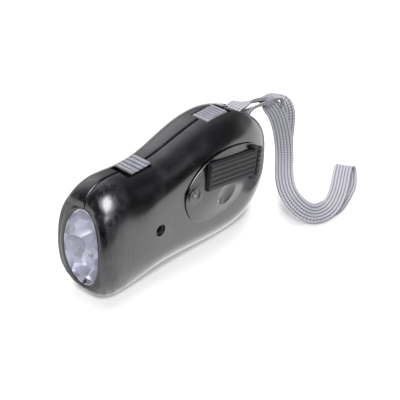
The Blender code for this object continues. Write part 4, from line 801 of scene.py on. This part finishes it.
# ---- Strap: a flat braided band of grey polyester, 9 mm wide. A short loop goes round the steel bar in
# the case's tail, and a crimped sleeve joins it to the hand loop, which lies on the table.
#
# A route's stop is a point in millimetres from the parting plane, the way that the band's face looks
# there, and the band's width where it is gathered.
RIBBON_WIDTH, RIBBON_THICKNESS, STRAP_RIBS = 9.0 * MM, 1.2 * MM, 6
UP, DOWN = (0, 0, 1), (0, 0, -1)
OUT, IN = (0.57, -0.62, 0.54), (-0.57, 0.62, -0.54)
LEFT_UP, RIGHT_DOWN = (-0.57, 0, 0.82), (0.57, 0, -0.82)
ANCHOR_ROUTE = (
    ((-0.5, 65.5, 49.7), LEFT_UP, 4.2), ((-0.6, 61.8, 50.9), LEFT_UP, 4.6),
    ((-0.8, 56.5, 52.3), LEFT_UP, 5.6), ((-0.7, 51.5, 53.7), (-0.4, 0, 0.92), 7),
    ((-0.3, 47, 54.9), UP, 8.4), ((0, 43.2, 55.2), UP), ((0, 40.6, 54.0), (0, -0.7, 0.7)),
    ((0, 40.0, 52.3), (0, -1, 0)), ((0, 40.8, 50.3), (0, -0.7, -0.7)), ((0, 43.2, 49.3), DOWN),
    ((0.2, 47.5, 49.9), DOWN, 8.4), ((0.6, 52, 50.0), (0.45, 0, -0.9), 7),
    ((0.7, 56.5, 49.6), RIGHT_DOWN, 5.6), ((0.6, 61.8, 48.9), RIGHT_DOWN, 4.6),
    ((0.5, 65.5, 47.9), RIGHT_DOWN, 4.2),
)
HAND_ROUTE = (
    ((0, 66.2, 48.3), OUT, 6.5), ((0.2, 67.6, 46.6), OUT, 8), ((0.6, 69.4, 44.4), OUT),
    ((1.6, 71.6, 40.6), OUT), ((3.4, 72.8, 35.0), OUT), ((5.8, 72.6, 27.4), OUT), ((9.5, 69.4, 20.6), OUT),
    ((14.5, 63.5, 15.6), OUT), ((21, 57.8, 12.2), OUT), ((28.2, 54.4, 9.6), OUT), ((34.6, 54.6, 6.9), OUT),
    ((38.8, 58.2, 5.3), OUT), ((40, 65.2, 5.0), OUT), ((38.2, 73.2, 5.4), (0.3, -0.3, 0.9)),
    ((34, 82.3, 6.2), UP), ((27.4, 93.4, 6.9), UP), ((24.0, 99.6, 7.0), (-0.1, 0.25, 0.96)),
    ((23.5, 103.2, 4.2), (-0.35, 0.93, 0)), ((26.2, 100.6, 1.9), (0, 0.1, -1)),
    ((31, 93.5, 1.3), DOWN), ((35.6, 82.5, 1.5), DOWN), ((38.4, 73.5, 2.6), (-0.3, 0.3, -0.9)),
    ((38.6, 66.5, 3.9), IN), ((37.0, 60.2, 4.2), IN), ((33.2, 56.9, 5.5), IN), ((26.9, 56.4, 8.0), IN),
    ((20.0, 58.9, 11.1), IN), ((13.5, 64.6, 14.5), IN), ((8.6, 70.5, 19.5), IN), ((5.2, 74.3, 26.6), IN),
    ((3.9, 76.6, 33.0), IN), ((3.0, 77.5, 39), IN), ((1.5, 76.4, 44.6), (-0.2, 0.3, -0.9)),
    ((0.5, 73.2, 48.6), DOWN, 8), ((0, 68.6, 49.8), DOWN, 6),
)


def smooth_line(points, steps):
    """A Catmull-Rom curve through the points, with this many steps between two of them."""
    points = np.array(points, float)
    padded = np.concatenate([points[:1], points, points[-1:]])
    t = (np.arange(steps) / steps)[None, :, None]
    a, b, c, d = (padded[k:len(padded) - 3 + k, None, :] for k in range(4))
    return np.concatenate([catmull_rom(a, b, c, d, t).reshape(-1, points.shape[1]), points[-1:]])


def unit(vectors):
    """Each vector at length one."""
    return vectors / np.linalg.norm(vectors, axis=-1, keepdims=True)


def ribbon(route, steps):
    """A band along the route: its width lies square to the run and to the face's direction, and its two
    faces swell into rounded ribs that run along it. Where it is gathered it is narrower and thicker. Also
    gives the line through its middle."""
    line = smooth_line([stop[0] for stop in route], steps) * MM + (PARTING_X, 0, 0)
    face = smooth_line([stop[1] for stop in route], steps)
    wide = smooth_line([stop[2:] or (RIBBON_WIDTH / MM,) for stop in route], steps) * MM
    run = unit(np.gradient(line, axis=0))
    across = unit(np.cross(run, face))
    out = unit(np.cross(across, run))
    v = np.linspace(-0.5, 0.5, 10 * STRAP_RIBS + 1)
    rib = np.abs(np.sin(math.pi * v * STRAP_RIBS))
    half = RIBBON_THICKNESS / 2 * (0.45 + 0.55 * rib ** 0.6)
    half[[0, -1]] = 0.1 * MM
    v_all = np.concatenate([v, v[-2:0:-1]])
    lift = np.concatenate([half, -half[-2:0:-1]])
    thick = (RIBBON_WIDTH / wide) ** 0.4
    aside, raised = across * wide, out * thick
    points = line[:, None] + aside[:, None] * v_all[:, None] + raised[:, None] * lift[:, None]
    return points, line, v_all


def ribbon_piece(name, route, steps, finish):
    """The band as a closed tube of its section, with a UV map: metres along it, and share across it."""
    points, line, v_all = ribbon(route, steps)
    obj = piece(name, points, tube_faces(*points.shape[:2]), finish, 180)
    mesh = obj.data
    run = np.concatenate([[0], np.cumsum(np.linalg.norm(np.diff(line, axis=0), axis=1))])
    u, v = np.broadcast_arrays(run[:, None], v_all[None, :])
    corners = np.zeros(len(mesh.loops), np.int32)
    mesh.loops.foreach_get("vertex_index", corners)
    layer = mesh.uv_layers.new(name="along")
    layer.uv.foreach_set("vector", np.stack([u.ravel()[corners], v.ravel()[corners]], -1).ravel())
    return obj, line, run[-1]


YARN_PAINTED_SHADE, YARN_PAINTED_LIGHT, STITCH = (0.07, 0.07, 0.085), (0.52, 0.52, 0.575), 1.3 * MM
SLEEVE_LOW, SLEEVE_HIGH = from_parting(-2.7, 63.4, 46.6), from_parting(2.7, 69.0, 51.2)


def braid():
    """Braided yarn: each rib is a plait of slanting stitches. Its colour paints light on the crowns of the
    ribs and stitches and shade in the grooves between the ribs, with a little fuzz."""
    finish = Finish("grey_braid", Specular_IOR_Level=0.15, Sheen_Weight=0.3, Sheen_Roughness=0.5)
    uv = finish.node("UVMap", {"uv_map": "along"})
    separate = finish.node("SeparateXYZ", {}, uv)
    along, across = separate, Value(finish, separate.socket.node.outputs[1])
    ribs = across * STRAP_RIBS
    in_rib = ribs - ribs.math("FLOOR") - 0.5
    slant = in_rib.math("ABSOLUTE") * 1.1
    stitch = ((along / STITCH + slant) * (2 * math.pi)).math("SINE") * 0.5 + 0.5
    crown = (in_rib * math.pi).math("COSINE").math("POWER", 0.7)
    yarn = finish.noise(2600, 2)
    # Painted light and shade: the crowns of ribs and stitches are coloured lighter, and the grooves between
    # them darker.
    shade = (crown * 0.6 + stitch * 0.4 + yarn * 0.1).clamped(0.1, 1.05)
    finish.surface(Base_Color=finish.mix(shade, YARN_PAINTED_SHADE, YARN_PAINTED_LIGHT))
    finish.surface(Roughness=0.85 + yarn * 0.1)
    return finish.bump(crown * 0.5 + stitch * 0.5, 0.25 * MM, 0.8)


yarn = braid()


def sleeve_points():
    """The crimped sleeve: a rounded square section, a superellipse, carried along the strap."""
    t = np.linspace(0, 2 * math.pi, 48, endpoint=False)
    s = np.linspace(0, 1, 15)[:, None]
    swell = 1 - 0.12 * (2 * s - 1) ** 8 + 0.02 * np.cos(8 * math.pi * s)
    low, high = np.array(SLEEVE_LOW), np.array(SLEEVE_HIGH)
    middle, half = (low + high) / 2, (high - low) / 2
    x = middle[0] + half[0] * 0.98 * swell * np.sign(np.cos(t)) * np.abs(np.cos(t)) ** 0.55
    z = middle[2] + half[2] * 0.98 * swell * np.sign(np.sin(t)) * np.abs(np.sin(t)) ** 0.55
    return np.stack([x, low[1] + (high[1] - low[1]) * s + 0 * t, z], -1)


wrap = Finish("sleeve_yarn", Base_Color=(0.26, 0.26, 0.30), Roughness=0.7, Specular_IOR_Level=0.3)
wrap.bump(wrap.noise(3000, 2, stretch=(1, 3, 1)), 0.1 * MM, 0.6)
sleeve_grid = sleeve_points()
sleeve = piece("crimp_sleeve", sleeve_grid, tube_faces(*sleeve_grid.shape[:2]), wrap, 50)
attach(sleeve, "case")
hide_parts("strap_crimp")

anchor, _, _ = ribbon_piece("anchor_band", ANCHOR_ROUTE, 12, yarn)
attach(anchor, "case")
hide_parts("strap_anchor")
hand, hand_line, hand_length = ribbon_piece("hand_band", HAND_ROUTE, 12, yarn)
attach(hand, "case")
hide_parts("strap_loop")

# ---- Studio: a white table that runs out to the horizon, a dark room above it with soft lamps, and the
# camera to the front right of the flashlight.

TABLE_GLOW, TABLE_MIRRORED = 0.31, 1.3
table = Finish("white_table", Base_Color=(0.80, 0.80, 0.80), Roughness=0.9, Specular_IOR_Level=0.0)
seen = table.ray("Camera").math("MAXIMUM", table.ray("Transmission"))
glow = table.node("Emission", {}, (1, 1, 1), seen * TABLE_GLOW)
lit = table.node("AddShader", {}, Value(table, table.shader.outputs[0]), glow)

# In the gloss of the pieces the table is white, but for painted shade: a dark patch at its right, as if a
# dark screen stood there, and a painted shadow below the nose.
to_right = table.node("VectorMath", {"operation": "DOT_PRODUCT"}, table.place(), (0.9, -0.45, 0))
nose_foot = table.node("VectorMath", {"operation": "DISTANCE"}, table.place(), (-0.008, -0.064, 0))
# Painted shade: the table's gloss is darkened at its right and in a painted shadow round the foot of the
# nose.
painted_table_shade = to_right.clamped(0.07, 0.16) * 0.92 + (1 - nose_foot.clamped(0.006, 0.026)) * 0.6
mirrored = table.node("Emission", {}, table.mix(painted_table_shade, (1, 1, 1), (0, 0, 0)), TABLE_MIRRORED)
table.end(table.node("MixShader", {}, table.ray("Glossy"), lit, mirrored))
bpy.ops.mesh.primitive_grid_add(size=1)
floor = bpy.context.object
floor.name = "table_top"
floor.data.transform(Matrix.Diagonal((40, 40, 1, 1)))
floor.data.materials.append(table.material)

world = bpy.data.worlds.new("studio")
bpy.context.scene.world = world
world.use_nodes = True
room = Shading(world.node_tree)
toward = room.node("TexCoord", {})


def facing(direction):
    """The cosine of the angle between where a ray goes and a direction."""
    return room.node("VectorMath", {"operation": "DOT_PRODUCT"}, toward, tuple(unit(np.array(direction))))


def soft(direction, tightness, strength):
    """Light that is strongest in one direction: the cosine of the angle to it, to a power."""
    return facing(direction).math("MAXIMUM", 0).math("POWER", tightness) * strength


# What the gloss shows of the room: a pale wall at the left, a soft sky above, the bright horizon at the
# back, and a wide soft lamp at the right. Everything else is lit by the lamps and an even dim light.
# The lamp is three discs: where each is, the degrees from there to its outer and its inner edge, and its
# strength.
DISCS = (
    ((0.65, -0.25, 0.72), 26, 8, 12.0), ((0.85, 0.08, 0.52), 17, 5, 3.0), ((0.34, -0.55, 0.76), 22, 6, 3.5),
)
softbox = sum(
    facing(direction).clamped(math.cos(math.radians(outer)), math.cos(math.radians(inner))) * strength
    for direction, outer, inner, strength in DISCS
)
wall, sky = soft((-0.82, 0.12, 0.56), 10, 1.4), soft((-0.5, 0.4, 0.77), 3, 0.24)
shine = wall + sky + soft((0.3, 0.95, 0), 12, 0.45)
COOL_WHITE = (1.0, 1.0, 1.03)
even = room.node("Background", {}, COOL_WHITE, 0.10)
dressed = room.node("Background", {}, COOL_WHITE, shine + softbox + 0.015)
white = room.node("Background", {}, (1, 1, 1), 1.0)
shown = room.ray("Camera").math("MAXIMUM", room.ray("Transmission"))
inside = room.node("MixShader", {}, room.ray("Glossy"), even, dressed)
room.end(room.node("MixShader", {}, shown, inside, white))


def lamp(name, place, target, size, power):
    """A square soft lamp at a place, turned to its target. It lights the pieces, and the gloss shows the
    room instead of it."""
    data = bpy.data.lights.new(name, "AREA")
    data.shape, data.size, data.energy = "SQUARE", size, power
    obj = bpy.data.objects.new(name, data)
    place, target = np.array(place, float), np.array(target, float)
    back = unit(place - target)
    right = unit(np.cross((0, 0, 1.0) if abs(back[2]) < 0.99 else (0, 1.0, 0), back))
    up = np.cross(back, right)
    obj.matrix_world = Matrix(np.stack([right, up, back, place], 1).tolist() + [[0, 0, 0, 1]])
    obj.visible_glossy = False
    bpy.context.scene.collection.objects.link(obj)
    return obj


lamp("overhead", (-0.3, 0.5, 1.3), (0, 0, 0.03), 1.0, 22)
lamp("front_key", (0.62, -0.55, 1.05), (0, -0.02, 0.03), 0.3, 12)
lamp("left_fill", (-1.2, -0.3, 0.7), (0, 0, 0.03), 0.6, 6)

# The camera stands where the photograph was taken from: 42.4 degrees round to the right and 33 above.
AZIMUTH, ELEVATION = math.radians(42.415), math.radians(32.981)
FOCAL_PIXELS, PHOTO_PIXELS, SENSOR = 1238.1, 400, 36
camera_data = bpy.data.cameras.new("camera")
camera_data.sensor_width, camera_data.lens = SENSOR, FOCAL_PIXELS / PHOTO_PIXELS * SENSOR
camera_data.clip_start, camera_data.clip_end = 0.05, 100
camera = bpy.data.objects.new("camera", camera_data)
c_az, s_az, c_el, s_el = math.cos(AZIMUTH), math.sin(AZIMUTH), math.cos(ELEVATION), math.sin(ELEVATION)
axes = ((c_az, s_az, 0), (-s_az * s_el, c_az * s_el, c_el), (s_az * c_el, -c_az * c_el, s_el))
stand = (327.9 * MM, -340.7 * MM, 331.1 * MM)
camera.matrix_world = Matrix(np.stack([*axes, stand], 1).tolist() + [[0, 0, 0, 1]])
bpy.context.scene.collection.objects.link(camera)
bpy.context.scene.camera = camera
bpy.context.scene.view_settings.view_transform = "Standard"
